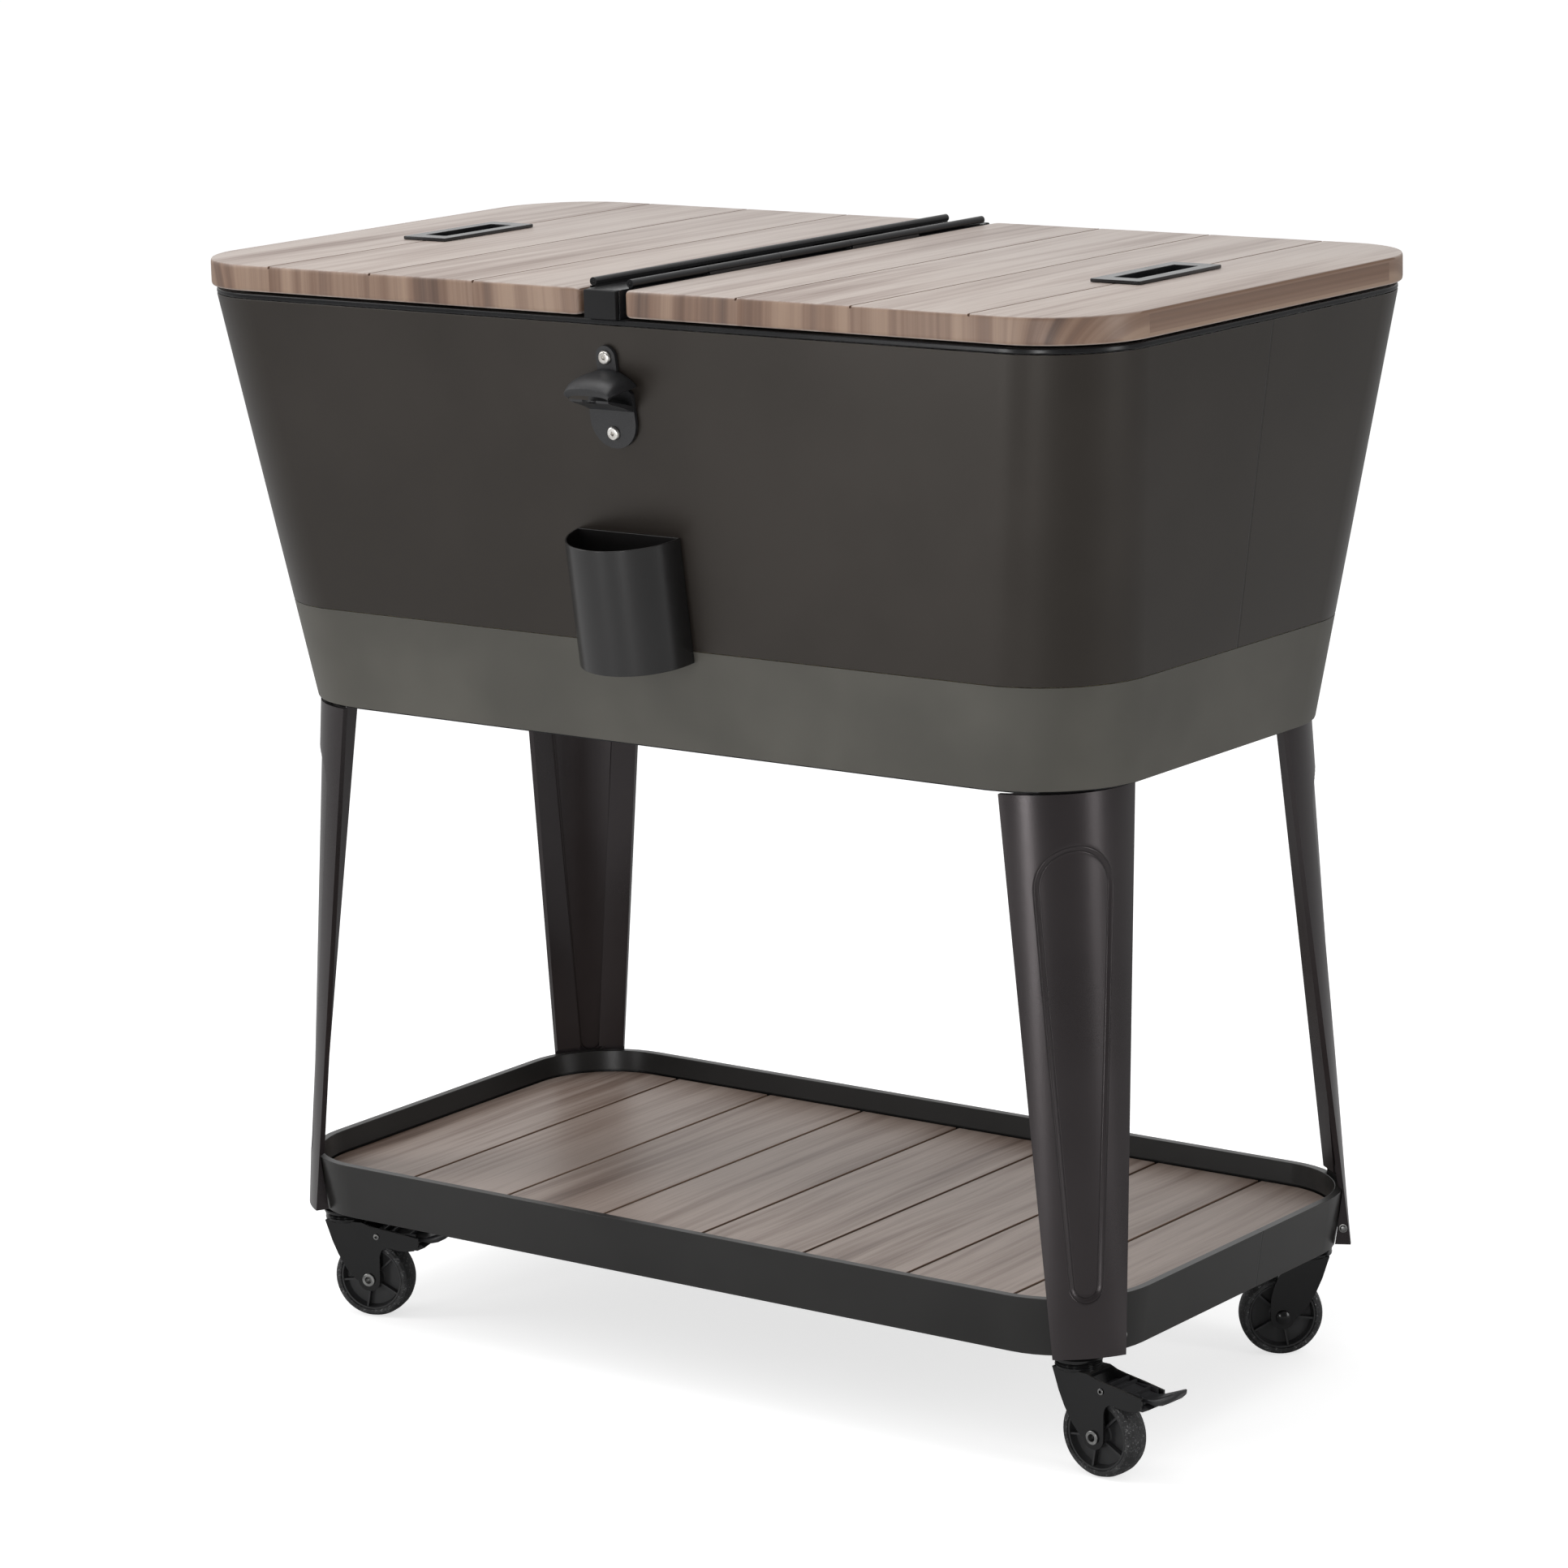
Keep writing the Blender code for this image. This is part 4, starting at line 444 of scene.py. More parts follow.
def powder_coat(name, colour, roughness, specular=0.5, tint=(255, 255, 255), seam=None, pressed=None):
    """Baked paint on steel: fine orange peel, a faint cloud in its tone, a little dust on what faces up.

    A seam gives a dark line, and pressed names the attribute that holds how far a place is in a panel, whose
    borders get lines of painted shade.
    """
    paint = Finish(name, roughness=roughness, specular=specular).set(Specular_Tint=rgb(*tint))
    _, _, facing_z = paint.normal.split()
    peel, cloud, speck = paint.noises((900, 2.0, 0.5), (7, 3.0, 0.5), (2600, 1.0, 0.5))
    patches = cloud.step(0.3, 0.7) * 0.7 + speck * 0.3
    tone = patches.mix(scaled(colour, 0.82), scaled(colour, 1.25, 0.004))
    dust = facing_z.step(0.75, 1) * cloud.step(0.45, 0.75) * 0.12
    tone = dust.mix(tone, rgb(150, 146, 140))
    height = peel * 0.8 + speck * 0.2
    if seam:
        line = seam(*paint.place.split())
        tone = (line * 0.9).mix(tone, scaled(colour, 0.25))
        height = height - line * 30
    if pressed:
        # Painted shade: dark lines along the pressed panel's borders, where its slopes turn, as well as their
        # bump.
        inside = paint.place.node("ShaderNodeAttribute", output=2, settings={"attribute_name": pressed})
        shaded_borders = (0, PANEL_SLOPE - 0.2 * MM)
        outer, inner = (inside.band(border, 0.2 * MM, 0.6 * MM) for border in shaded_borders)
        line = outer + inner
        tone = (line * 0.8).mix(tone, scaled(colour, 0.25))
        height = height - line * 12
    paint.set(Base_Color=tone, Roughness=cloud * 0.1 + speck * 0.05 + roughness - 0.075 + dust)
    return paint.bump(height, 0.05 * MM, 0.5)


def cast_black(name):
    """Sand-cast iron under black paint."""
    metal = Finish(name, roughness=0.42, specular=0.5)
    pits, cloud = metal.noises((1500, 3.0, 0.6), (60, 2.0, 0.5))
    tone = (pits.step(0.35, 0.65) * 0.6 + cloud * 0.4).mix(rgb(22, 22, 24), rgb(44, 44, 46))
    metal.set(Base_Color=tone, Roughness=pits * 0.2 + 0.32)
    return metal.bump(pits, 0.08 * MM, 0.7)


def moulded_black(name, roughness=0.4, tone=(26, 26, 28)):
    """Black moulded nylon: fine texture, slightly uneven gloss."""
    plastic = Finish(name, roughness=roughness, specular=0.45)
    grain, cloud = plastic.noises((2200, 2.0, 0.5), (45, 3.0, 0.5))
    light = [level + 12 for level in tone]
    colour = (cloud.step(0.3, 0.7) * 0.6 + grain * 0.4).mix(rgb(*tone), rgb(*light))
    plastic.set(Base_Color=colour, Roughness=cloud * 0.16 + roughness - 0.08)
    return plastic.bump(grain, 0.03 * MM, 0.5)


def tyre_rubber(name):
    """Hard black rubber with the pale specks that a tread picks up."""
    rubber = Finish(name, roughness=0.6, specular=0.4)
    specks, scuff = rubber.noises((600, 4.0, 0.75), (120, 3.0, 0.6))
    mask = specks.step(0.55, 0.66) * scuff.step(0.35, 0.55)
    tone = scuff.step(0.35, 0.65).mix(rgb(24, 24, 25), rgb(46, 46, 47))
    rubber.set(Base_Color=(mask * 0.7).mix(tone, rgb(140, 140, 140)), Roughness=scuff * 0.3 + 0.42)
    return rubber.bump(specks, 0.25 * MM, 0.6)


def bright_steel(name, dark, light, roughness):
    """Turned steel, with fine tool marks and a few smears."""
    steel = Finish(name, roughness=roughness, metallic=1.0)
    marks, smear = steel.noises((2500, 1.0, 0.5), (150, 3.0, 0.5))
    tone = smear.step(0.3, 0.7).mix(rgb(*dark), rgb(*light))
    steel.set(Base_Color=tone, Roughness=smear * 0.2 + marks * 0.08 + roughness - 0.14)
    return steel.bump(marks, 0.02 * MM, 0.5)


def light_liner(name):
    """Vacuum-formed pale liner with a soft gloss."""
    plastic = Finish(name, roughness=0.3, specular=0.5)
    ripple, grain = plastic.noises((14, 2.0, 0.4), (1200, 2.0, 0.5))
    colour = ripple.step(0.3, 0.7).mix(rgb(214, 216, 216), rgb(222, 224, 223))
    plastic.set(Base_Color=colour, Roughness=ripple * 0.06 + grain * 0.08 + 0.25)
    return plastic.bump(ripple * 0.9 + grain * 0.02, 0.2 * MM, 0.25)


def foam_fill(name):
    """Cut polyurethane foam."""
    foam = Finish(name, roughness=0.9, specular=0.2)
    cells, cloud = foam.noises((700, 4.0, 0.7), (20, 2.0, 0.5))
    tone = (cells * 0.6 + cloud * 0.4).step(0.3, 0.7).mix(rgb(214, 198, 150), rgb(238, 226, 184))
    foam.set(Base_Color=tone, Roughness=cells * 0.1 + 0.85)
    return foam.bump(cells, 0.5 * MM, 0.8)


def seal_rubber(name):
    """Soft black rubber with a dull bloom."""
    rubber = Finish(name, roughness=0.7, specular=0.35)
    grain, bloom = rubber.noises((1400, 2.0, 0.6), (30, 3.0, 0.5))
    tone = (bloom.step(0.4, 0.7) * 0.6 + grain * 0.2).mix(rgb(22, 22, 22), rgb(52, 52, 52))
    rubber.set(Base_Color=tone, Roughness=bloom * 0.2 + 0.58)
    return rubber.bump(grain, 0.05 * MM, 0.6)


def lap_seam(x, y, z):
    """The shell's lap joint down its right side."""
    return y.band(SEAM_Y, 0.8 * MM, 0.6 * MM) * x.step(*RIGHT_END) * z.step(BAND_TOP_Z, BAND_TOP_Z + MM)


def tray_seam(x, y, z):
    """The weld in the tray's rim, at its right end."""
    line = y.band(TRAY_SEAM_Y, 0.4 * MM, 0.5 * MM) * x.step(*RIGHT_END)
    return line * z.step(TRAY_Z, TRAY_Z + MM) * 0.35


def make_finishes():
    walnut = (rgb(180, 168, 160), rgb(158, 143, 135), rgb(120, 101, 91))
    shade = (rgb(174, 157, 147), rgb(148, 129, 118), rgb(98, 78, 67))
    plank = 2 * (TRAY[0] - TRAY_LIP - GAP) / BOARD_PLANKS
    made = (
        wood_film("lid_film", walnut, rgb(74, 52, 42), LID_INNER_X, PLANK, GROOVE / 2, LID_TOP_Z, 0.42),
        wood_film("board_film", shade, rgb(44, 31, 25), 0.0, plank, BOARD_GROOVE / 2, BOARD_TOP_Z, 0.4),
        powder_coat("shell_paint", rgb(26, 21, 17), 0.34, tint=(255, 248, 240), seam=lap_seam),
        powder_coat("tray_paint", rgb(25, 24, 23), 0.32, specular=0.42, seam=tray_seam),
        powder_coat("band_paint", rgb(76, 74, 68), 0.48, specular=0.4),
        powder_coat("leg_paint", rgb(28, 24, 25), 0.29, tint=(255, 246, 248), pressed="border"),
        powder_coat("black_paint", rgb(18, 18, 20), 0.26, specular=0.3),
        powder_coat("bar_paint", rgb(30, 31, 33), 0.2, specular=0.8),
        powder_coat("cap_paint", rgb(24, 24, 25), 0.45, specular=0.15),
        powder_coat("caster_paint", rgb(11, 11, 12), 0.2, specular=0.4),
        cast_black("cast_black"),
        powder_coat("catcher_paint", rgb(22, 21, 21), 0.24),
        moulded_black("moulded_black"),
        moulded_black("handle_black", 0.22),
        moulded_black("wheel_black", 0.5, (30, 30, 31)),
        tyre_rubber("tyre_rubber"),
        bright_steel("stainless", (206, 202, 196), (240, 238, 234), 0.3),
        bright_steel("dull_zinc", (112, 112, 112), (156, 156, 154), 0.34),
        light_liner("liner_plastic"),
        foam_fill("foam"),
        seal_rubber("seal_rubber"),
    )
    return {finish.name: finish for finish in made}


def make_mesh(name, bm, smooth=SMOOTH):
    """The mesh of a bmesh, facing outwards and smooth but for its sharp edges."""
    bmesh.ops.remove_doubles(bm, verts=bm.verts, dist=SAME_PLACE)
    bmesh.ops.recalc_face_normals(bm, faces=bm.faces)
    if bm.calc_volume(signed=True) < 0:
        bmesh.ops.reverse_faces(bm, faces=bm.faces)
    mesh = bpy.data.meshes.new(name)
    bm.to_mesh(mesh)
    bm.free()
    mesh.shade_smooth()
    mesh.set_sharp_from_angle(angle=smooth)
    return mesh


def new_object(name, data):
    """An object with its data, linked to the scene."""
    made = bpy.data.objects.new(name, data)
    bpy.context.collection.objects.link(made)
    return made


def add_piece(name, shape, finish, body, nodes=(), edge=0.0, segments=2):
    """A finished piece from a bmesh or a mesh. edge is the width that its hard edges are rounded over."""
    mesh = shape if isinstance(shape, bpy.types.Mesh) else make_mesh(name, shape)
    mesh.materials.clear()
    mesh.materials.append(FINISHES[finish].material)
    piece = new_object(name, mesh)
    if edge:
        rounding = piece.modifiers.new("edges", "BEVEL")
        rounding.width = edge
        rounding.segments = segments
        rounding.limit_method = "ANGLE"
        rounding.angle_limit = 40 * DEGREE
        rounding.harden_normals = True
    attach(piece, body)
    if nodes:
        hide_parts(*nodes)
    return piece


def carve(name, base, steps):
    """The mesh of a bmesh after Boolean steps, each an operation and a bmesh."""
    solid = new_object(name, make_mesh(name, base))
    tools = []
    for operation, other in steps:
        tool = new_object(name + "_tool", make_mesh(name + "_tool", other))
        modifier = solid.modifiers.new(operation, "BOOLEAN")
        modifier.operation, modifier.solver, modifier.object = operation, "EXACT", tool
        tools.append(tool)
    bpy.context.view_layer.update()
    mesh = bpy.data.meshes.new_from_object(solid.evaluated_get(bpy.context.evaluated_depsgraph_get()))
    for item in [solid, *tools]:
        bpy.data.objects.remove(item, do_unlink=True)
    mesh.shade_smooth()
    mesh.set_sharp_from_angle(angle=SMOOTH)
    return mesh


def polygon(bm, points):
    return bm.faces.new([bm.verts.new(point) for point in points])


def rounded(bm, verts, radius, steps):
    """Rounds corners of a flat face and gives the face."""
    made = bmesh.ops.bevel(
        bm, geom=verts, offset=radius, segments=steps, profile=0.5, affect="VERTICES", material=-1
    )
    return made["verts"][0].link_faces[0]


def plate(bm, half_x, half_y, radius, z, centre=(0, 0), steps=12):
    """A flat face with round corners at one height."""
    x, y = centre
    points = [(x + a * half_x, y + b * half_y, z) for a, b in ((1, 1), (-1, 1), (-1, -1), (1, -1))]
    return rounded(bm, list(polygon(bm, points).verts), radius, steps)


def skin(rows, draw, closed=False, capped=False):
    """Bridges the outlines that a function draws from a row of measures into one surface."""
    bm = bmesh.new()
    following = rows[1:] + rows[:1] if closed else rows[1:]
    for pair in zip(rows, following):
        faces = [draw(bm, row) for row in pair]
        edges = [edge for face in faces for edge in face.edges]
        bmesh.ops.delete(bm, geom=faces, context="FACES_ONLY")
        bmesh.ops.bridge_loops(bm, edges=edges)
    if capped:
        draw(bm, rows[0])
        draw(bm, rows[-1])
    return bm


def skinned(rows, closed=False, capped=False, steps=12):
    """A surface through outlines given as half sizes, corner radius, height and centre."""
    return skin(rows, lambda bm, row: plate(bm, *row, steps=steps), closed, capped)


def block(bm, low, high, turn=Matrix()):
    """A box between two corners, then turned about the origin."""
    low, high = Vector(low), Vector(high)
    place = turn @ Matrix.Translation((low + high) / 2) @ Matrix.Diagonal((*(high - low), 1))
    bmesh.ops.create_cube(bm, size=1, matrix=place)
    return bm


def rod(bm, start, end, radius, steps=32):
    start, end = Vector(start), Vector(end)
    along = end - start
    turn = Vector((0, 0, 1)).rotation_difference(along).to_matrix().to_4x4()
    bmesh.ops.create_cone(
        bm, cap_ends=True, segments=steps, radius1=radius, radius2=radius, depth=along.length,
        matrix=Matrix.Translation((start + end) / 2) @ turn,
    )
    return bm


def groove_cuts(places, width, depth, half_y, top):
    """Blocks that cut grooves along Y into a board's top."""
    cuts = bmesh.new()
    for x in places:
        block(cuts, (x - width / 2, -half_y, top - depth), (x + width / 2, half_y, top + MM))
    return cuts


def cross_rod(place, radius, steps=16):
    """A rod right across a caster, at a place along its heading and up."""
    x, z = place
    return rod(bmesh.new(), (x, -THROUGH, z), (x, THROUGH, z), radius, steps)


def spun(profile, centre, axis, side, steps=48, closed=False):
    """A profile of (along the axis, out from it) spun round the axis, from a side on."""
    bm = bmesh.new()
    centre, axis, side = Vector(centre), Vector(axis), Vector(side)
    row = [bm.verts.new(centre + axis * along + side * out) for along, out in profile]
    edges = [bm.edges.new(pair) for pair in zip(row, row[1:] + row[:1] if closed else row[1:])]
    bmesh.ops.spin(
        bm, geom=row + edges, cent=centre, axis=axis, angle=2 * math.pi, steps=steps, use_merge=True
    )
    bmesh.ops.remove_doubles(bm, verts=bm.verts, dist=SAME_PLACE)
    return bm


def swept(points, shift):
    """A flat outline extruded along a shift."""
    bm = bmesh.new()
    face = polygon(bm, points)
    made = bmesh.ops.extrude_face_region(bm, geom=[face])
    verts = [item for item in made["geom"] if isinstance(item, bmesh.types.BMVert)]
    bmesh.ops.translate(bm, verts=verts, vec=shift)
    return bm


def mix(low, high, share):
    return low + (high - low) * share


def arc(centre, radius, start, end, steps):
    """Flat points round a centre from one angle to another."""
    x, y = centre
    angles = [mix(start, end, step / steps) for step in range(steps + 1)]
    return [(x + radius * math.cos(angle), y + radius * math.sin(angle)) for angle in angles]


def to_metres(table):
    return [tuple(number * MM for number in row) for row in table]


def body_row(z, inset=0.0):
    """The tub's outline at a height, drawn in by an inset."""
    share = (z - BODY_FOOT[3]) / (BODY_TOP[3] - BODY_FOOT[3])
    half_x, half_y, radius = (mix(BODY_FOOT[i], BODY_TOP[i], share) - inset for i in range(3))
    return half_x, half_y, radius, z


def wall_inset(z):
    """How far the liner's face lies in from the tub's outline at a height."""
    return mix(FLOOR_INSET, MOUTH_INSET, (z - LINER_FLOOR_Z) / (BODY_TOP[3] - LINER_FLOOR_Z))


def tray_row(z, inset=0.0):
    """The tray's outline at a height, drawn in by its flare and an inset."""
    total = inset + TRAY_FLARE * (TRAY_TOP_Z - z) / (TRAY_TOP_Z - TRAY_Z)
    return TRAY[0] - total, TRAY[1] - total, TRAY[2] - total, z


def make_tub():
    shell_foot, shell_top = BAND_TOP_Z + GAP, BODY_TOP[3]
    rows = [
        body_row(shell_foot), body_row(shell_top), body_row(shell_top, SHEET), body_row(shell_foot, SHEET),
    ]
    add_piece("shell", skinned(rows, closed=True), "shell_paint", "cooler", ["outer_shell"], 0.6 * MM)
    foot, flange = BODY_FOOT[3], BODY_FOOT[3] + SHEET
    rows = [
        body_row(BAND_TOP_Z), body_row(BAND_TOP_Z, SHEET), body_row(flange, SHEET),
        body_row(flange, BAND_FLANGE), body_row(foot, BAND_FLANGE), body_row(foot),
    ]
    add_piece("band", skinned(rows, closed=True), "band_paint", "cooler", ["lower_band"], 0.5 * MM)
    mouth = wall_inset(BODY_TOP[3])
    half_x, half_y, radius, _ = BODY_TOP
    rows = [
        (half_x - inset, half_y - inset, radius - inset, z)
        for z, inset in ((COLLAR_Z, 0), (COLLAR_TOP_Z, 0), (COLLAR_TOP_Z, mouth), (COLLAR_Z, mouth))
    ]
    add_piece("collar", skinned(rows, closed=True), "black_paint", "cooler", ["top_collar"], 1.2 * MM, 3)
    shoulder = LINER_FLOOR_Z + LINER_FILLET
    floor_inset = wall_inset(LINER_FLOOR_Z) + LINER_FILLET
    under, top = shell_top - GAP - LINER_WALL, shell_top - GAP
    rows = [
        body_row(LINER_FLOOR_Z - LINER_WALL, floor_inset - LINER_WALL),
        body_row(shoulder, wall_inset(shoulder) - LINER_WALL),
        body_row(under, wall_inset(under) - LINER_WALL), body_row(under, LINER_RIM),
        body_row(top, LINER_RIM), body_row(top, mouth), body_row(shoulder, wall_inset(shoulder)),
        body_row(LINER_FLOOR_Z, floor_inset),
    ]
    add_piece("liner", skinned(rows, capped=True), "liner_plastic", "cooler", ["inner_liner"], 5 * MM, 4)


def lid_plate(bm, side, z, inset, end_inset):
    """One lid's outline: round outer corners, and small ones beside the bar."""
    low, high = LID_INNER_X + end_inset, LID_HALF[0] - inset
    half_y = LID_HALF[1] - inset
    corners = ((high, half_y), (low, half_y), (low, -half_y), (high, -half_y))
    face = polygon(bm, [(side * x, y, z) for x, y in corners])
    outer = [vert for vert in face.verts if abs(vert.co.x) > LID_HALF[0] / 2]
    face = rounded(bm, outer, LID_RADIUS - inset, 20)
    inner = [vert for vert in face.verts if abs(vert.co.x) < LID_HALF[0] / 2]
    return rounded(bm, inner, LID_END_ROUND, 5)


def make_lid(name, side):
    levels = [(LID_Z, 1, step / 5) for step in range(6)]
    levels += [(LID_TOP_Z, -1, step / 5) for step in range(5, -1, -1)]
    rows = []
    for base, up, share in levels:
        angle = share * math.pi / 2
        draw = 1 - math.sin(angle)
        z = base + up * LID_END_ROUND * (1 - math.cos(angle))
        rows.append((side, z, LID_EDGE_ROUND * draw, LID_END_ROUND * draw))
    bm = skin(rows, lambda bm, row: lid_plate(bm, *row), capped=True)
    places = [side * (LID_INNER_X + PLANK * plank) for plank in range(1, LID_PLANKS)]
    cuts = groove_cuts(places, GROOVE, GROOVE, LID_HALF[1] + MM, LID_TOP_Z)
    spare = CUP_WALL + GAP
    pocket = [
        (CUP[0] + spare, CUP[1] + spare, 2 * MM + spare, z, (side * HANDLE[0], HANDLE[1]))
        for z in (LID_TOP_Z - CUP_DEPTH - spare, LID_TOP_Z + MM)
    ]
    pocket_bm = skinned(pocket, capped=True, steps=4)
    mesh = carve("lid_" + name, bm, [("DIFFERENCE", cuts), ("DIFFERENCE", pocket_bm)])
    add_piece("lid_planks_" + name, mesh, "lid_film", "lid_" + name, ["lid_panel_" + name], 0.25 * MM)


def make_handle(name, side):
    """A raised bezel round a finger cup."""
    centre = (side * HANDLE[0], HANDLE[1])
    seat, top, floor = LID_TOP_Z + GAP, LID_TOP_Z + GAP + BEZEL_RISE, LID_TOP_Z - CUP_DEPTH
    outer = (CUP[0] + CUP_WALL, CUP[1] + CUP_WALL, 3 * MM)
    rows = [
        (*outer, floor - CUP_WALL, centre), (*outer, seat, centre), (*BEZEL, 1.5 * MM, seat, centre),
        (*BEZEL, 1.5 * MM, top, centre), (*CUP, 2 * MM, top, centre), (*CUP, 2 * MM, floor, centre),
    ]
    shape = skinned(rows, capped=True, steps=4)
    add_piece(
        "handle_" + name, shape, "handle_black", "lid_" + name, ["handle_cup_" + name], 0.6 * MM, 3
    )


def make_bar():
    """The bar between the lids on its neck and beam, and the caps at its ends."""
    upper = COLLAR_TOP_Z + GAP
    reach = LID_HALF[1] - GAP - (BAR_CAP - BAR_PROUD)
    beam_z = COLLAR_TOP_Z - BEAM
    mouth = BODY_TOP[1] - (BODY_TOP[3] - beam_z) * math.tan(WALL_LEAN) - wall_inset(beam_z) - GAP
    bar = block(bmesh.new(), (-BAR_HALF, -reach, upper), (BAR_HALF, reach, BAR_TOP_Z))
    beam = block(bmesh.new(), (-BEAM_HALF, -mouth, beam_z), (BEAM_HALF, mouth, COLLAR_TOP_Z))
    neck = block(
        bmesh.new(), (-NECK_HALF, GAP - mouth, COLLAR_TOP_Z - NECK_SINK),
        (NECK_HALF, mouth - GAP, upper + NECK_SINK),
    )
    mesh = carve("bar", bar, [("UNION", neck), ("UNION", beam)])
    add_piece("bar", mesh, "bar_paint", "cooler", ["center_bar"], 0.8 * MM)
    for name, side in (("front", -1), ("back", 1)):
        ends = sorted((side * (reach + GAP), side * (LID_HALF[1] + BAR_PROUD)))
        cap = block(bmesh.new(), (-BAR_HALF, ends[0], upper), (BAR_HALF, ends[1], BAR_TOP_Z))
        add_piece("bar_end_" + name, cap, "cap_paint", "cooler", ["bar_cap_" + name], 1.1 * MM, 3)


def knuckle_spans():
    """Where each knuckle starts and ends along the hinge."""
    length = 2 * HINGE_HALF / KNUCKLES
    return [
        (length * i - HINGE_HALF + GAP / 2, length * (i + 1) - HINGE_HALF - GAP / 2) for i in range(KNUCKLES)
    ]


def hinge_shape(name, side, low_x, high_x, spans):
    """A leaf with its knuckles, each on a tab, and the bore for the pin."""
    top = HINGE_Z - KNUCKLE - GAP
    leaf = block(bmesh.new(), (low_x, -HINGE_HALF + MM, top - LEAF_DEPTH), (high_x, HINGE_HALF - MM, top))
    tabs, barrels = bmesh.new(), bmesh.new()
    for low_y, high_y in spans:
        block(
            tabs, (low_x + TAB_INSET, low_y + MM, top - LEAF),
            (high_x - TAB_INSET, high_y - MM, HINGE_Z - KNUCKLE / 2),
        )
        rod(barrels, (side * HINGE_X, low_y, HINGE_Z), (side * HINGE_X, high_y, HINGE_Z), KNUCKLE, 28)
    bore = rod(
        bmesh.new(), (side * HINGE_X, -HINGE_HALF - MM, HINGE_Z), (side * HINGE_X, HINGE_HALF + MM, HINGE_Z),
        HINGE_PIN + GAP, 16,
    )
    return carve(name, leaf, [("UNION", tabs), ("UNION", barrels), ("DIFFERENCE", bore)])


def make_hinge(name, side):
    spans = knuckle_spans()
    near, far = BAR_HALF + GAP, LID_INNER_X - GAP
    fixed = sorted((side * near, side * (near + LEAF)))
    moving = sorted((side * (far - LEAF), side * far))
    mesh = hinge_shape("bar_hinge", side, *fixed, spans[0::2])
    add_piece("bar_hinge_" + name, mesh, "black_paint", "cooler", ["hinge_leaf_bar_" + name], 0.45 * MM)
    mesh = hinge_shape("lid_hinge", side, *moving, spans[1::2])
    add_piece("lid_hinge_" + name, mesh, "black_paint", "lid_" + name, ["hinge_leaf_lid_" + name], 0.45 * MM)
    ends = [(side * HINGE_X, end * HINGE_HALF, HINGE_Z) for end in (-1, 1)]
    pin = rod(bmesh.new(), *ends, HINGE_PIN, 16)
    add_piece("hinge_rod_" + name, pin, "black_paint", "cooler", ["hinge_pin_" + name], 0.3 * MM)


class LegLine:
    """The leg's outer skin line at one height, a bowed arc from the back's side to the end's side."""

    def __init__(self, z):
        share = (z - TRAY_TOP_Z) / (LEG_TOP_Z - TRAY_TOP_Z)
        corner = Vector((TRAY[0] - TRAY[2], TRAY[1] - TRAY[2]))
        wrap = [corner + LEG_CLEAR * Vector((math.cos(a), math.sin(a))) for a in LEG_WRAP]
        wrap_bulge = LEG_CLEAR * (1 - math.cos((LEG_WRAP[0] - LEG_WRAP[1]) / 2))
        (top_x, top_y), (run_x, run_y) = LEG_TOP, LEG_TOP_RUN
        top = [Vector((top_x - run_x, top_y)), Vector((top_x, top_y - run_y))]
        start, end = (mix(low, high, share) for low, high in zip(wrap, top))
        bulge = mix(wrap_bulge, LEG_TOP_BULGE, share)
        chord = end - start
        half = chord.length / 2
        self.radius = (half * half + bulge * bulge) / (2 * bulge)
        self.sweep = 2 * math.asin(half / self.radius)
        self.along = chord.normalized()
        self.out = Vector((-self.along.y, self.along.x))
        self.centre = (start + end) / 2 - self.out * (self.radius - bulge)
        self.length = self.radius * self.sweep

    def radial(self, share):
        """Outwards, at a share of the way along the line."""
        angle = self.sweep * (share - 1 / 2)
        return self.out * math.cos(angle) + self.along * math.sin(angle)

    def point(self, share, depth):
        return self.centre + self.radial(share) * (self.radius - depth)

    def inward(self, end):
        return -self.radial(end)

    def toward(self, end):
        """From one of the leg's long edges to its middle."""
        inward = self.inward(end)
        return Vector((-inward.y, inward.x)) * (-1 if end else 1)

    def fold(self, end, reach, hem):
        """The folded edge: down the hem, then in along the lip, at a reach from the skin."""
        inward, toward = self.inward(end), self.toward(end)
        lean = toward * math.cos(LEG_LIP_TILT) + inward * math.sin(LEG_LIP_TILT)
        edge = self.point(end, 0)
        if reach <= hem:
            return edge + inward * reach
        return edge + inward * hem + lean * (reach - hem)


def panel_inside(line, share, z):
    """How far a place on the leg lies inside the pressed panel, which widens from its foot to its head."""
    (low_z, low_half), (high_z, high_half) = PANEL_ENDS
    rise = high_z - low_z
    widen = (high_half - low_half) / rise
    straight = math.sqrt(1 - widen * widen)
    across, up = abs(share - PANEL_SHARE) * line.length, z - low_z
    along = widen * across + straight * up
    if along < 0:
        return low_half - math.hypot(across, up)
    if along > straight * rise:
        return high_half - math.hypot(across, up - rise)
    return low_half - straight * across + widen * up


def panel_depth(inside):
    """How deep the panel is pressed, down a slope with soft ends."""
    slope = min(1.0, max(0.0, inside / PANEL_SLOPE))
    return PANEL_DEPTH * slope * slope * (3 - 2 * slope)


def hem_depth(line, end, z):
    """The hem's depth: its own above the tray, and beside it as far as the tray's tapered corner."""
    if z >= TRAY_TOP_Z + LEG_NOTCH:
        return LEG_HEM
    half_x, half_y, radius, _ = tray_row(min(z, TRAY_TOP_Z))
    corner = Vector((half_x - radius, half_y - radius))
    return (line.point(end, 0) - corner).length - radius - 2 * GAP


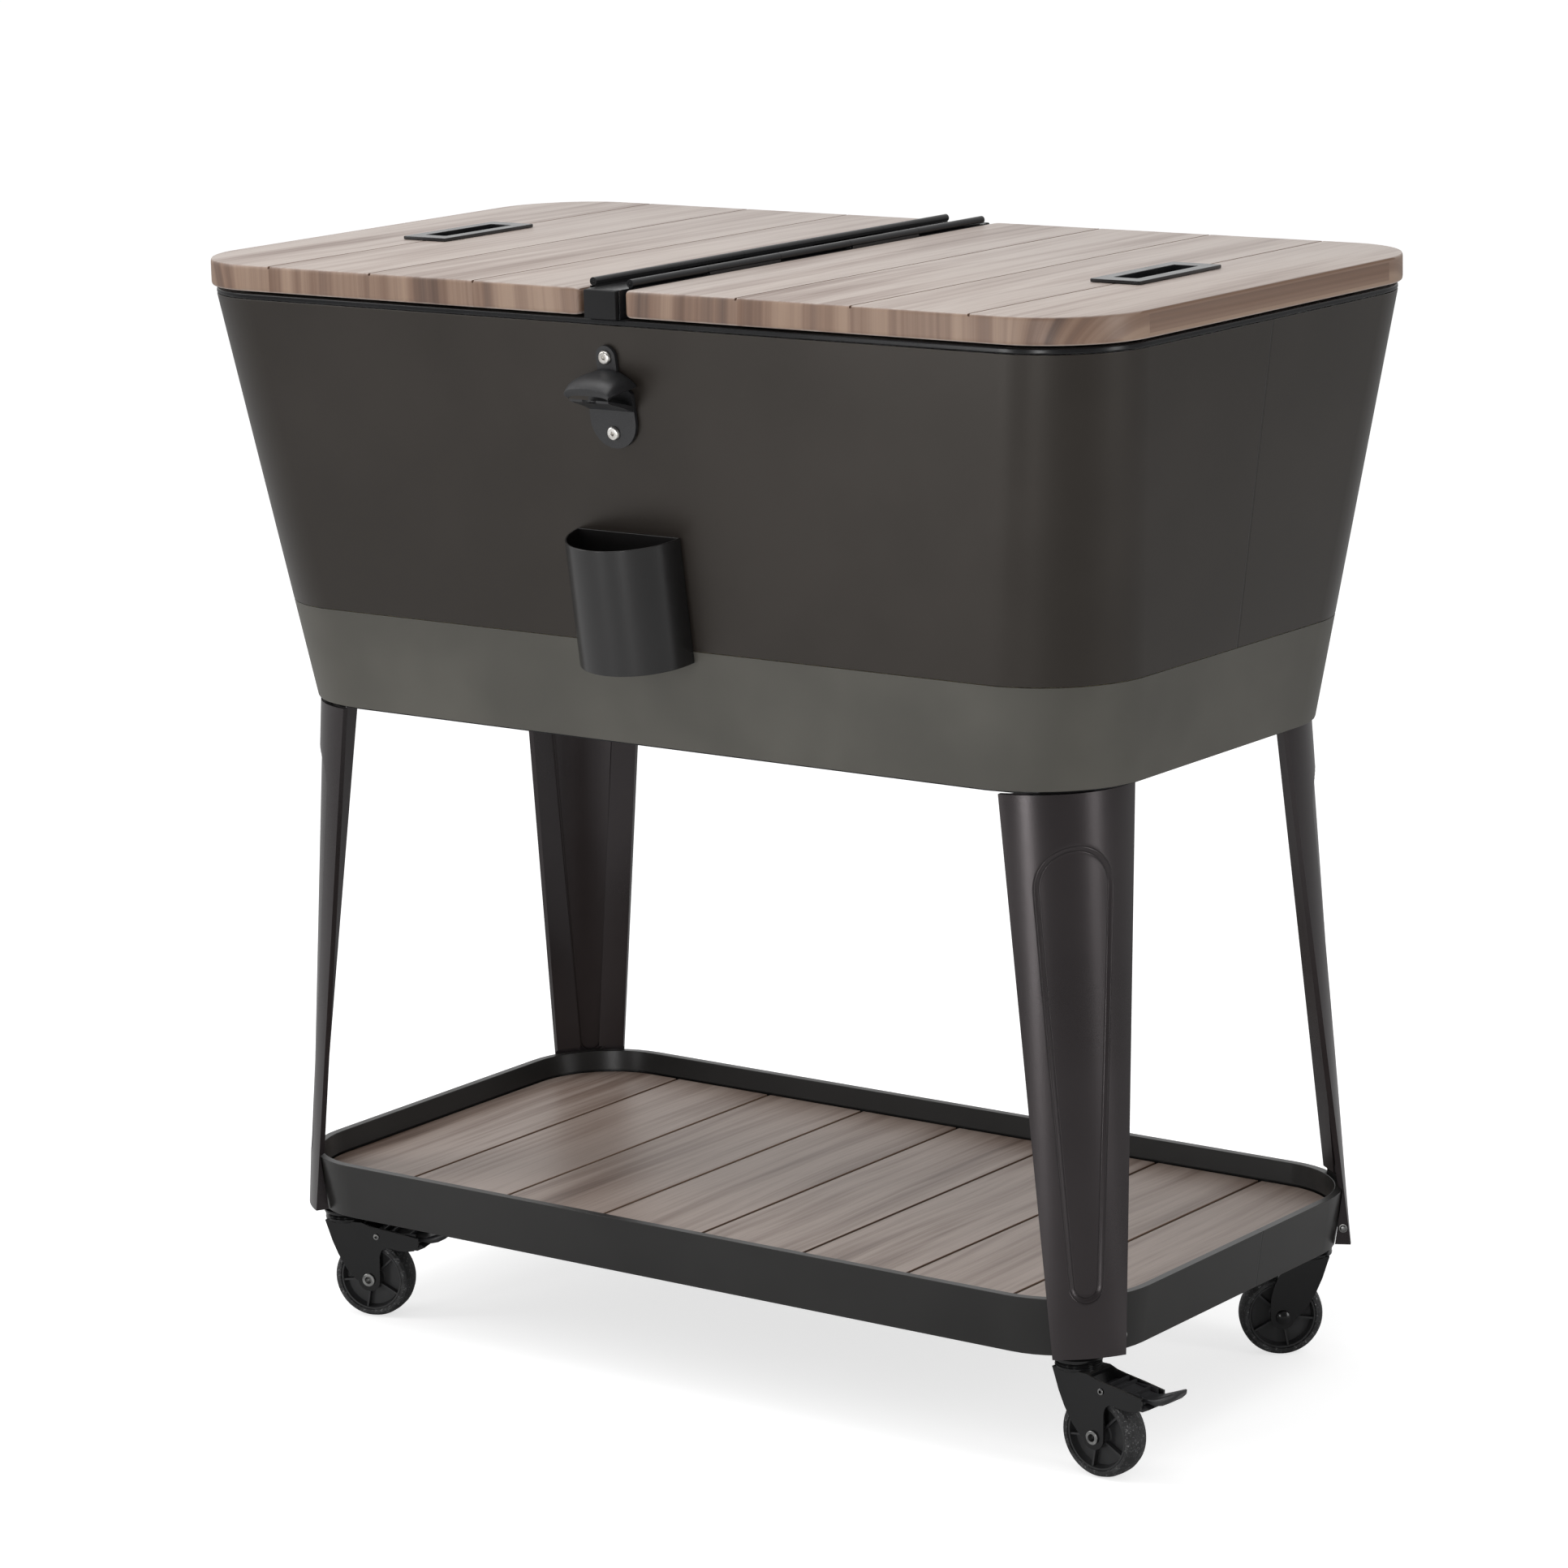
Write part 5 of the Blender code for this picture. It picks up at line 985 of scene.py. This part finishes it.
def leg_shape():
    """The back right leg: a grid laid on the leg's line, thickened, with its folded edges above the tray."""
    bm = bmesh.new()
    total = LEG_COLUMNS + 2 * FOLD_CELLS
    bmesh.ops.create_grid(bm, x_segments=total, y_segments=LEG_ROWS, size=0.5)
    border = bm.verts.layers.float.new("border")
    lines = {}
    drop = []
    for vert in bm.verts:
        column = round((vert.co.x + 0.5) * total)
        row = round((vert.co.y + 0.5) * LEG_ROWS)
        z = mix(LEG_Z, LEG_TOP_Z, row / LEG_ROWS)
        line = lines.setdefault(row, LegLine(z))
        if FOLD_CELLS <= column <= total - FOLD_CELLS:
            share = (column - FOLD_CELLS) / LEG_COLUMNS
            vert[border] = panel_inside(line, share, z)
            place = line.point(share, panel_depth(vert[border]))
        else:
            end = 0 if column < FOLD_CELLS else 1
            cells = FOLD_CELLS - column if end == 0 else column - (total - FOLD_CELLS)
            hem = hem_depth(line, end, z)
            reach = (cells / 2) * hem if cells <= 2 else hem + (cells - 2) / (FOLD_CELLS - 2) * LEG_LIP
            vert[border] = -LEG_LIP
            place = line.fold(end, reach, hem)
            if cells > 2 and z < TRAY_TOP_Z + LEG_NOTCH:
                drop.append(vert)
        vert.co = Vector((*place, z))
    bmesh.ops.delete(bm, geom=drop, context="VERTS")
    bmesh.ops.recalc_face_normals(bm, faces=bm.faces)
    probe = max(bm.faces, key=lambda face: face.calc_center_median().x + face.calc_center_median().y)
    if probe.normal.x + probe.normal.y < 0:
        bmesh.ops.reverse_faces(bm, faces=bm.faces)
    bmesh.ops.solidify(bm, geom=bm.faces[:], thickness=LEG_SHEET)
    return make_mesh("leg", bm, 50 * DEGREE)


def mirrored(mesh, side_x, side_y):
    """A copy of the back right leg's mesh for another corner."""
    copy = mesh.copy()
    copy.transform(Matrix.Diagonal((side_x, side_y, 1, 1)))
    if side_x * side_y < 0:
        copy.flip_normals()
    return copy


def leg_cap_shape():
    """The leg's top plate, bolted to the tub's underside."""
    line = LegLine(LEG_TOP_Z)
    top = LEG_TOP_Z - LEG_FIT
    points = [Vector((*line.point(step / 24, LEG_SHEET * 1.2), top)) for step in range(25)]
    cap = swept(points, (0, 0, -LEG_CAP))
    inset, radius, height = CAP_BOLT
    centre, seat = line.point(0.5, inset), LEG_TOP_Z - LEG_CAP
    rod(cap, (*centre, seat), (*centre, seat - height), radius, 6)
    return cap


def leg_bolt_shape():
    """The dome bolt and washer on the foot's hem at the tub's end."""
    inset, rise = FOOT_BOLT
    z = LEG_Z + rise
    line = LegLine(z)
    axis = Vector((*-line.toward(1), 0))
    return spun(to_metres(BOLT_PROFILE), (*line.point(1, inset), z), axis, (0, 0, 1), 24)


def make_legs():
    skin_mesh = leg_shape()
    cap_mesh = make_mesh("leg_cap", leg_cap_shape())
    bolt_mesh = make_mesh("leg_bolt", leg_bolt_shape())
    for end, hand in CORNERS:
        corner = f"{end}_{hand}"
        sides = SIDES[hand], SIDES[end]
        leg, cap, bolt = (mirrored(mesh, *sides) for mesh in (skin_mesh, cap_mesh, bolt_mesh))
        add_piece("leg_skin_" + corner, leg, "leg_paint", "cooler", ["leg_" + corner], 0.35 * MM, 1)
        add_piece("leg_cap_" + corner, cap, "leg_paint", "cooler", (), 0.3 * MM)
        add_piece("leg_bolt_" + corner, bolt, "dull_zinc", "cooler")


def make_tray():
    """The pan with its folded rim, and the planked board on its ribs."""
    lip_z = TRAY_TOP_Z - TRAY_LIP_DROP
    under, floor = TRAY_TOP_Z - TRAY_SHEET, TRAY_Z + TRAY_SHEET
    rows = [
        tray_row(TRAY_Z), tray_row(TRAY_TOP_Z), tray_row(TRAY_TOP_Z, TRAY_LIP), tray_row(lip_z, TRAY_LIP),
        tray_row(lip_z, TRAY_LIP - TRAY_SHEET), tray_row(under, TRAY_LIP - TRAY_SHEET),
        tray_row(under, TRAY_SHEET), tray_row(floor, TRAY_SHEET),
    ]
    add_piece("tray", skinned(rows, capped=True), "tray_paint", "cooler", ["tray_pan"], 0.5 * MM, 3)
    edge = TRAY_LIP + GAP
    foot = BOARD_TOP_Z - BOARD
    board = skinned([tray_row(foot, edge), tray_row(BOARD_TOP_Z, edge)], capped=True)
    pitch = 2 * (TRAY[0] - edge) / BOARD_PLANKS
    places = [edge - TRAY[0] + pitch * plank for plank in range(1, BOARD_PLANKS)]
    cuts = groove_cuts(places, BOARD_GROOVE, BOARD_GROOVE_DEPTH, TRAY[1], BOARD_TOP_Z)
    ribs = bmesh.new()
    for share in RIB_SHARES:
        reach = TRAY[0] * 0.86 - (TRAY[2] if abs(share) > 0.5 else 0)
        y = TRAY[1] * share
        block(ribs, (-reach, y - RIB_HALF, floor + GAP), (reach, y + RIB_HALF, foot + MM))
    mesh = carve("board", board, [("UNION", ribs), ("DIFFERENCE", cuts)])
    add_piece("board", mesh, "board_film", "cooler", ["tray_board"], 0.4 * MM)


def fork_outline(braked):
    """The fork seen from its side: down its front, round the axle and up its back."""
    boss = arc((TRAIL, WHEEL), AXLE_BOSS, 1.02 * math.pi, 2 * math.pi, 12)
    return to_metres(FORK_FRONT) + boss + to_metres(BRAKED_BACK if braked else FORK_BACK)


def fork_shape(braked):
    """A pressed fork: cheeks joined by a rounded front, under a head with the lower raceway."""
    outline = [Vector((x, -FORK_HALF, z)) for x, z in fork_outline(braked)]
    inner = FORK_HALF - FORK_SHEET
    head = FORK_HEAD_Z - FORK_CROWN
    seat = head + FORK_SHEET
    room = block(bmesh.new(), (-THROUGH, -inner, 0), (2 * THROUGH, inner, head))
    profile = [
        (seat, 0), (seat, RACE_FOOT), *((FORK_HEAD_Z + up, out) for up, out in to_metres(FORK_RACE)),
        (FORK_TOP_Z, RACE_TOP), (FORK_TOP_Z, 0),
    ]
    race = spun(profile, *UPRIGHT)
    axle = cross_rod((TRAIL, WHEEL), AXLE + GAP, 24)
    steps = [("DIFFERENCE", room), ("UNION", race), ("DIFFERENCE", axle)]
    if braked:
        low, high = (BRAKE_SLOT_X, -inner, head - 4 * MM), (2 * THROUGH, inner, FORK_TOP_Z)
        steps.append(("DIFFERENCE", block(bmesh.new(), low, high)))
        steps.append(("DIFFERENCE", cross_rod(BRAKE_PIVOT, BRAKE_PIN + GAP)))
    return carve("fork", swept(outline, (0, 2 * FORK_HALF, 0)), steps)


def wheel_shape():
    """A moulded wheel with thin ribs on each side of its dished web."""
    half = WHEEL_HALF
    side = [(half, AXLE + GAP), *((half * share, out * MM) for share, out in HUB)]
    profile = side + [(-along, out) for along, out in reversed(side)]
    core = spun(profile, *ON_AXLE, 64, closed=True)
    start, end, thick = WHEEL_RIB
    ribs = bmesh.new()
    for rib in range(WHEEL_RIBS):
        turn = Matrix.Rotation(rib * 2 * math.pi / WHEEL_RIBS + 0.5, 4, "Y")
        block(ribs, (start, -half * 0.85, -thick), (end, half * 0.85, thick), turn)
    return carve("wheel", core, [("UNION", ribs)])


def tyre_shape():
    side = [(WHEEL_HALF * share, out * MM) for share, out in TREAD]
    profile = [*((-along, out) for along, out in reversed(side)), (0, WHEEL), *side]
    return spun(profile, *ON_AXLE, 72, closed=True)


def rivet_shape(radius, head_radius, head, hollow):
    """A headed pin through the fork, with a hollow or domed end."""
    seat = FORK_HALF + GAP
    end = seat + head
    if hollow:
        hole, floor = radius * 0.78, end - 5 * MM
        tip = [
            (seat, head_radius), (end - 0.3 * MM, head_radius), (end, head_radius - 0.4 * MM),
            (end, hole), (floor, hole), (floor, 0),
        ]
    else:
        tip = [
            (seat, head_radius), (seat + head * 0.5, head_radius * 0.95),
            (end - head * 0.15, head_radius * 0.6), (end, 0),
        ]
    right = [(seat, radius), *tip]
    left = [(-along, out) for along, out in reversed(right)]
    return spun(left + right, *ON_AXLE, 32)


def mount_shape():
    """The fixed raceway over the fork, two rolled rings and a plate, with the stem above it."""
    stem_top = MOUNT_TOP_Z + STEM_RISE
    profile = [
        (MOUNT_Z, 0), *((MOUNT_Z + up, out) for up, out in to_metres(MOUNT_RINGS)),
        (MOUNT_TOP_Z, MOUNT_PLATE), (MOUNT_TOP_Z, STEM), (stem_top, STEM), (stem_top, 0),
    ]
    return spun(profile, *UPRIGHT, 56)


def pedal_slice(bm, row):
    x, z, thick, wide = row
    corners = [(wide, thick), (-wide, thick), (-wide, -thick), (wide, -thick)]
    face = polygon(bm, [(x * MM, across * MM, (z + up) * MM) for across, up in corners])
    return rounded(bm, list(face.verts), thick * 0.9 * MM, 4)


def pedal_shape():
    """The brake pedal: a ribbed channel between the cheeks, an oval tongue and a hooked shoe."""
    bm = skin(PEDAL, pedal_slice, capped=True)
    shoe = swept([Vector((x, -SHOE_HALF, z)) for x, z in to_metres(SHOE)], (0, 2 * SHOE_HALF, 0))
    ridges = bmesh.new()
    for x in RIDGES:
        top = 80.5 - (x - 30) * 0.16
        block(ridges, (x * MM, -11.5 * MM, 70 * MM), ((x + 1.6) * MM, 11.5 * MM, top * MM))
    for y in RAILS:
        block(ridges, (29 * MM, y * MM, 68.5 * MM), (67 * MM, (y + 2) * MM, 75.5 * MM))
    x, z = BRAKE_PIVOT
    radius, half = BRAKE_BARREL
    barrel = rod(bmesh.new(), (x, -half, z), (x, half, z), radius, 24)
    bore = cross_rod(BRAKE_PIVOT, BRAKE_PIN + GAP)
    steps = [("UNION", shoe), ("UNION", ridges), ("UNION", barrel), ("DIFFERENCE", bore)]
    return carve("pedal", bm, steps)


def add_caster_part(part, corner, mesh, place, finish, body, node="", edge=0.0, segments=2):
    """A copy of a caster's mesh at a corner. node starts the name of the node that it replaces."""
    copy = mesh.copy()
    copy.transform(place)
    nodes = [f"{node}_{corner}"] if node else ()
    add_piece(f"{part}_{corner}", copy, finish, body, nodes, edge, segments)


def make_casters():
    forks = {braked: fork_shape(braked) for braked in (True, False)}
    wheel, tyre = wheel_shape(), make_mesh("tyre", tyre_shape())
    hollow = make_mesh("axle", rivet_shape(AXLE, 5.5 * MM, 1.6 * MM, True))
    domed = make_mesh("axle_nut", rivet_shape(AXLE, 6 * MM, 3.6 * MM, False))
    pin = make_mesh("pin", rivet_shape(BRAKE_PIN, 2.6 * MM, 0.8 * MM, True))
    mount, pedal = make_mesh("mount", mount_shape()), pedal_shape()
    paint = "caster_paint"
    for end, hand in CORNERS:
        at = f"{end}_{hand}"
        swivel, roll = "swivel_" + at, "wheel_" + at
        braked = end == "front"
        centre = Matrix.Translation((SIDES[hand] * CASTER[0], SIDES[end] * CASTER[1], 0))
        turned = centre @ Matrix.Rotation(HEADINGS[end, hand] * DEGREE, 4, "Z")
        hub = turned @ Matrix.Translation((TRAIL, 0, WHEEL))
        axle, metal = (hollow, "dull_zinc") if braked else (domed, paint)
        add_caster_part("mount", at, mount, centre, paint, "cooler", "caster_mount")
        add_caster_part("fork", at, forks[braked], turned, paint, swivel, "caster_fork", 0.7 * MM, 3)
        add_caster_part("wheel", at, wheel, hub, "wheel_black", roll, "caster_wheel", 0.4 * MM)
        add_caster_part("tyre", at, tyre, hub, "tyre_rubber", roll)
        add_caster_part("axle", at, axle, hub, metal, swivel, "caster_axle")
        if braked:
            x, z = BRAKE_PIVOT
            pivot = turned @ Matrix.Translation((x, 0, z))
            pedal_body = "pedal_" + at
            add_caster_part("pin", at, pin, pivot, "dull_zinc", swivel, "brake_pin")
            add_caster_part("pedal", at, pedal, turned, "moulded_black", pedal_body, "brake_pedal", 0.4 * MM)


def wall_frame(drop):
    """Places (across, up the wall, out of it) on the front wall, so far below the body's top edge."""
    foot = Vector((0, -BODY_TOP[1] + drop * math.tan(WALL_LEAN), BODY_TOP[3] - drop))
    up = Vector((0, -math.sin(WALL_LEAN), math.cos(WALL_LEAN)))
    out = Vector((0, -math.cos(WALL_LEAN), -math.sin(WALL_LEAN)))
    return Matrix.Translation(foot) @ Matrix((Vector((1, 0, 0)), up, out)).transposed().to_4x4()


def arch(half, foot, crown, power, steps=24):
    """An arch from its left foot over its crown to its right foot. A low power makes it pointed."""
    points = []
    for step in range(steps + 1):
        angle = math.pi * (1 - step / steps)
        across = math.copysign(abs(math.cos(angle)) ** (2 / power), math.cos(angle))
        rise = max(0.0, math.sin(angle)) ** (2 / power)
        points.append((half * across, mix(foot, crown, rise)))
    return points


def hood_slice(bm, row):
    """A cut through the hood at one reach from the wall: its outer arch, then its inner one back."""
    out, outer, inner, power = row
    points = arch(*outer, power) + arch(*inner, power)[::-1]
    return polygon(bm, [(x * MM, up * MM, out * MM) for x, up in points])


def hood_shape():
    """The opener's hood: a visor that springs from the wall to an arched lip with a drawn-in fascia."""
    return skin(HOOD, hood_slice, capped=True)


def jaw_slice(bm, row):
    out, half, low, high = row
    points = ((-half, low), (half, low), (half, high), (-half, high))
    return polygon(bm, [(x * MM, up * MM, out * MM) for x, up in points])


def jaw_shape():
    """The opener's lower jaw, a wedge that rises from the plate to an edge under the hood's lip."""
    return skin(JAW, jaw_slice, capped=True)


def opener_outline():
    """The opener's plate: a small round head, a waist and a wide round foot."""
    waist = to_metres(OPENER_WAIST)
    head = arc((0, OPENER_SCREWS), OPENER_HEAD, 0, math.pi, 16)
    foot = arc((0, -OPENER_FOOT_DROP), OPENER_FOOT, math.pi, 2 * math.pi, 16)
    points = [*head, *((-x, y) for x, y in waist), *foot, *reversed(waist)]
    return [Vector((x, y, GAP)) for x, y in points]


def make_opener():
    frame = wall_frame(OPENER_DROP)
    base = swept(opener_outline(), (0, 0, OPENER_PLATE))
    radius, height, reach = NOTCH
    notch = rod(bmesh.new(), (0, 0, reach), (0, height, reach), radius, 32)
    holes = bmesh.new()
    for side in (-1, 1):
        y = side * OPENER_SCREWS
        rod(holes, (0, y, -2 * OPENER_PLATE), (0, y, 4 * OPENER_PLATE), SCREW_SHANK + GAP, 20)
    steps = [
        ("UNION", jaw_shape()), ("DIFFERENCE", notch), ("UNION", hood_shape()), ("DIFFERENCE", holes),
    ]
    mesh = carve("opener", base, steps)
    mesh.transform(frame)
    add_piece("opener", mesh, "cast_black", "cooler", ["bottle_opener"], 0.8 * MM, 3)
    for name, side in (("upper", 1), ("lower", -1)):
        place = frame @ Matrix.Translation((0, side * OPENER_SCREWS, 0))
        node = "opener_screw_" + name
        add_piece("screw_" + name, screw_mesh(place, OPENER_PLATE), "stainless", "cooler", [node], 0.25 * MM)


def screw_mesh(place, plate_depth):
    """A button-head screw with a hex socket."""
    seat = plate_depth + 2 * GAP
    flat, bulge = SCREW_CROWN
    turns = [step / 6 * math.pi / 2 for step in range(7)]
    dome = [(seat + SCREW_HEAD * math.sin(a), flat + bulge * math.cos(a)) for a in turns]
    shank = [(SCREW_TIP, 0), (SCREW_TIP, SCREW_SHANK), (seat, SCREW_SHANK)]
    head = spun([*shank, *dome, (seat + SCREW_HEAD, 0)], *UPRIGHT, 36)
    radius, floor = SOCKET
    socket = rod(bmesh.new(), (0, 0, seat + floor), (0, 0, seat + 4 * MM), radius, 6)
    mesh = carve("screw", head, [("DIFFERENCE", socket)])
    mesh.transform(place)
    return mesh


def half_round(radius, inset):
    """A half cylinder against the wall, with its flat side and its floor drawn in by an inset."""
    start = math.asin(inset / radius)
    outline = arc((0, GAP), radius, start, math.pi - start, 56)
    points = [Vector((x, inset - CATCHER_HEIGHT, out)) for x, out in outline]
    return swept(points, (0, CATCHER_HEIGHT, 0))


def make_catcher():
    """A half-round sheet cup, open at the top, with its screws inside."""
    frame = wall_frame(CATCHER_DROP)
    cup = half_round(CATCHER_RADIUS, 0)
    hollow = half_round(CATCHER_RADIUS - CATCHER_SHEET, CATCHER_SHEET)
    mesh = carve("catcher", cup, [("DIFFERENCE", hollow)])
    mesh.transform(frame)
    add_piece("catcher", mesh, "catcher_paint", "cooler", ["cap_catcher"], 0.5 * MM, 3)
    for name, side in (("left", -1), ("right", 1)):
        across, up = CATCHER_SCREW
        screw = screw_mesh(frame @ Matrix.Translation((side * across, up, 0)), CATCHER_SHEET)
        node = "catcher_screw_" + name
        add_piece("inner_screw_" + name, screw, "stainless", "cooler", [node], 0.25 * MM)


def finish_kept_nodes(nodes):
    """Gives every CAD node its finish."""
    plain = {
        "base_plate": "black_paint", "insulation": "foam", "drain_spout": "moulded_black",
        "drain_cap": "moulded_black", "lid_plug": "liner_plastic", "lid_gasket": "seal_rubber",
    }
    for name, node in nodes.items():
        finish = next((value for key, value in plain.items() if name.startswith(key)), "black_paint")
        node.data.materials.clear()
        node.data.materials.append(FINISHES[finish].material)


def ray_kinds(tree, *kinds):
    """A value for each kind, 1 where a ray is of that kind."""
    path = tree.nodes.new("ShaderNodeLightPath")
    return [Value(tree, path.outputs[f"Is {kind} Ray"]) for kind in kinds]


def set_world():
    """White to the camera, a soft backdrop to what shines, and an even light on what doesn't."""
    world = bpy.data.worlds.new("studio")
    bpy.context.scene.world = world
    world.use_nodes = True
    tree = world.node_tree
    tree.nodes.clear()
    base = Value(tree, tree.nodes.new("ShaderNodeTexCoord").outputs["Generated"])
    camera, glossy, through = ray_kinds(tree, "Camera", "Glossy", "Transmission")
    x, y, z = base.split()
    away = x * -0.6 + y * 0.8
    backdrop = away.step(-0.1, 0.55) * 0.66 + z.step(0.2, 0.9) * 0.1 + 0.18
    seen = camera.math("MAXIMUM", through)
    strength = seen + (1 - seen) * (glossy * backdrop + (1 - glossy) * 0.55)
    shade = base.node("ShaderNodeBackground", Color=(1, 1, 1, 1), Strength=strength)
    out = tree.nodes.new("ShaderNodeOutputWorld")
    tree.links.new(shade.socket, out.inputs["Surface"])


def add_softbox(name, place, target, size, power):
    lamp = bpy.data.lights.new(name, "AREA")
    lamp.shape = "RECTANGLE"
    lamp.size, lamp.size_y = size
    lamp.energy = power
    box = new_object(name, lamp)
    box.location = place
    box.rotation_euler = (Vector(target) - Vector(place)).to_track_quat("-Z", "Y").to_euler()


def set_lights():
    for softbox in SOFTBOXES:
        add_softbox(*softbox)


def set_floor():
    """A pale floor that takes the shadow and glows a little to the camera."""
    bm = bmesh.new()
    bmesh.ops.create_grid(bm, x_segments=1, y_segments=1, size=30)
    mesh = bpy.data.meshes.new("floor")
    bm.to_mesh(mesh)
    bm.free()
    floor = new_object("floor", mesh)
    material = bpy.data.materials.new("floor")
    material.use_nodes = True
    tree = material.node_tree
    tree.nodes.clear()
    camera, through = ray_kinds(tree, "Camera", "Transmission")
    seen = camera.math("MAXIMUM", through)
    matt = seen.node("ShaderNodeBsdfDiffuse", Color=(0.62, 0.62, 0.62, 1))
    glow = seen.node("ShaderNodeEmission", Color=(1, 1, 1, 1), Strength=seen * 0.68)
    both = seen.node("ShaderNodeAddShader", in_0=matt, in_1=glow)
    out = tree.nodes.new("ShaderNodeOutputMaterial")
    tree.links.new(both.socket, out.inputs["Surface"])
    mesh.materials.append(material)


def set_camera():
    camera = new_object("camera", bpy.data.cameras.new("camera"))
    camera.data.lens = CAMERA_LENS
    camera.data.sensor_width = 36
    camera.data.clip_end = 100
    camera.location = CAMERA_PLACE
    turn = Matrix.Rotation(CAMERA_AZIMUTH, 3, "Z") @ Matrix.Rotation(math.pi / 2 + CAMERA_PITCH, 3, "X")
    camera.rotation_euler = (turn @ Matrix.Rotation(CAMERA_ROLL, 3, "Z")).to_euler()
    bpy.context.scene.camera = camera
    bpy.context.scene.view_settings.view_transform = "Standard"


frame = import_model()
FINISHES = make_finishes()
set_camera()
finish_kept_nodes(frame["nodes"])
make_tub()
for hand in ("left", "right"):
    make_lid(hand, SIDES[hand])
    make_handle(hand, SIDES[hand])
    make_hinge(hand, SIDES[hand])
make_bar()
make_legs()
make_tray()
make_casters()
make_opener()
make_catcher()
set_world()
set_lights()
set_floor()
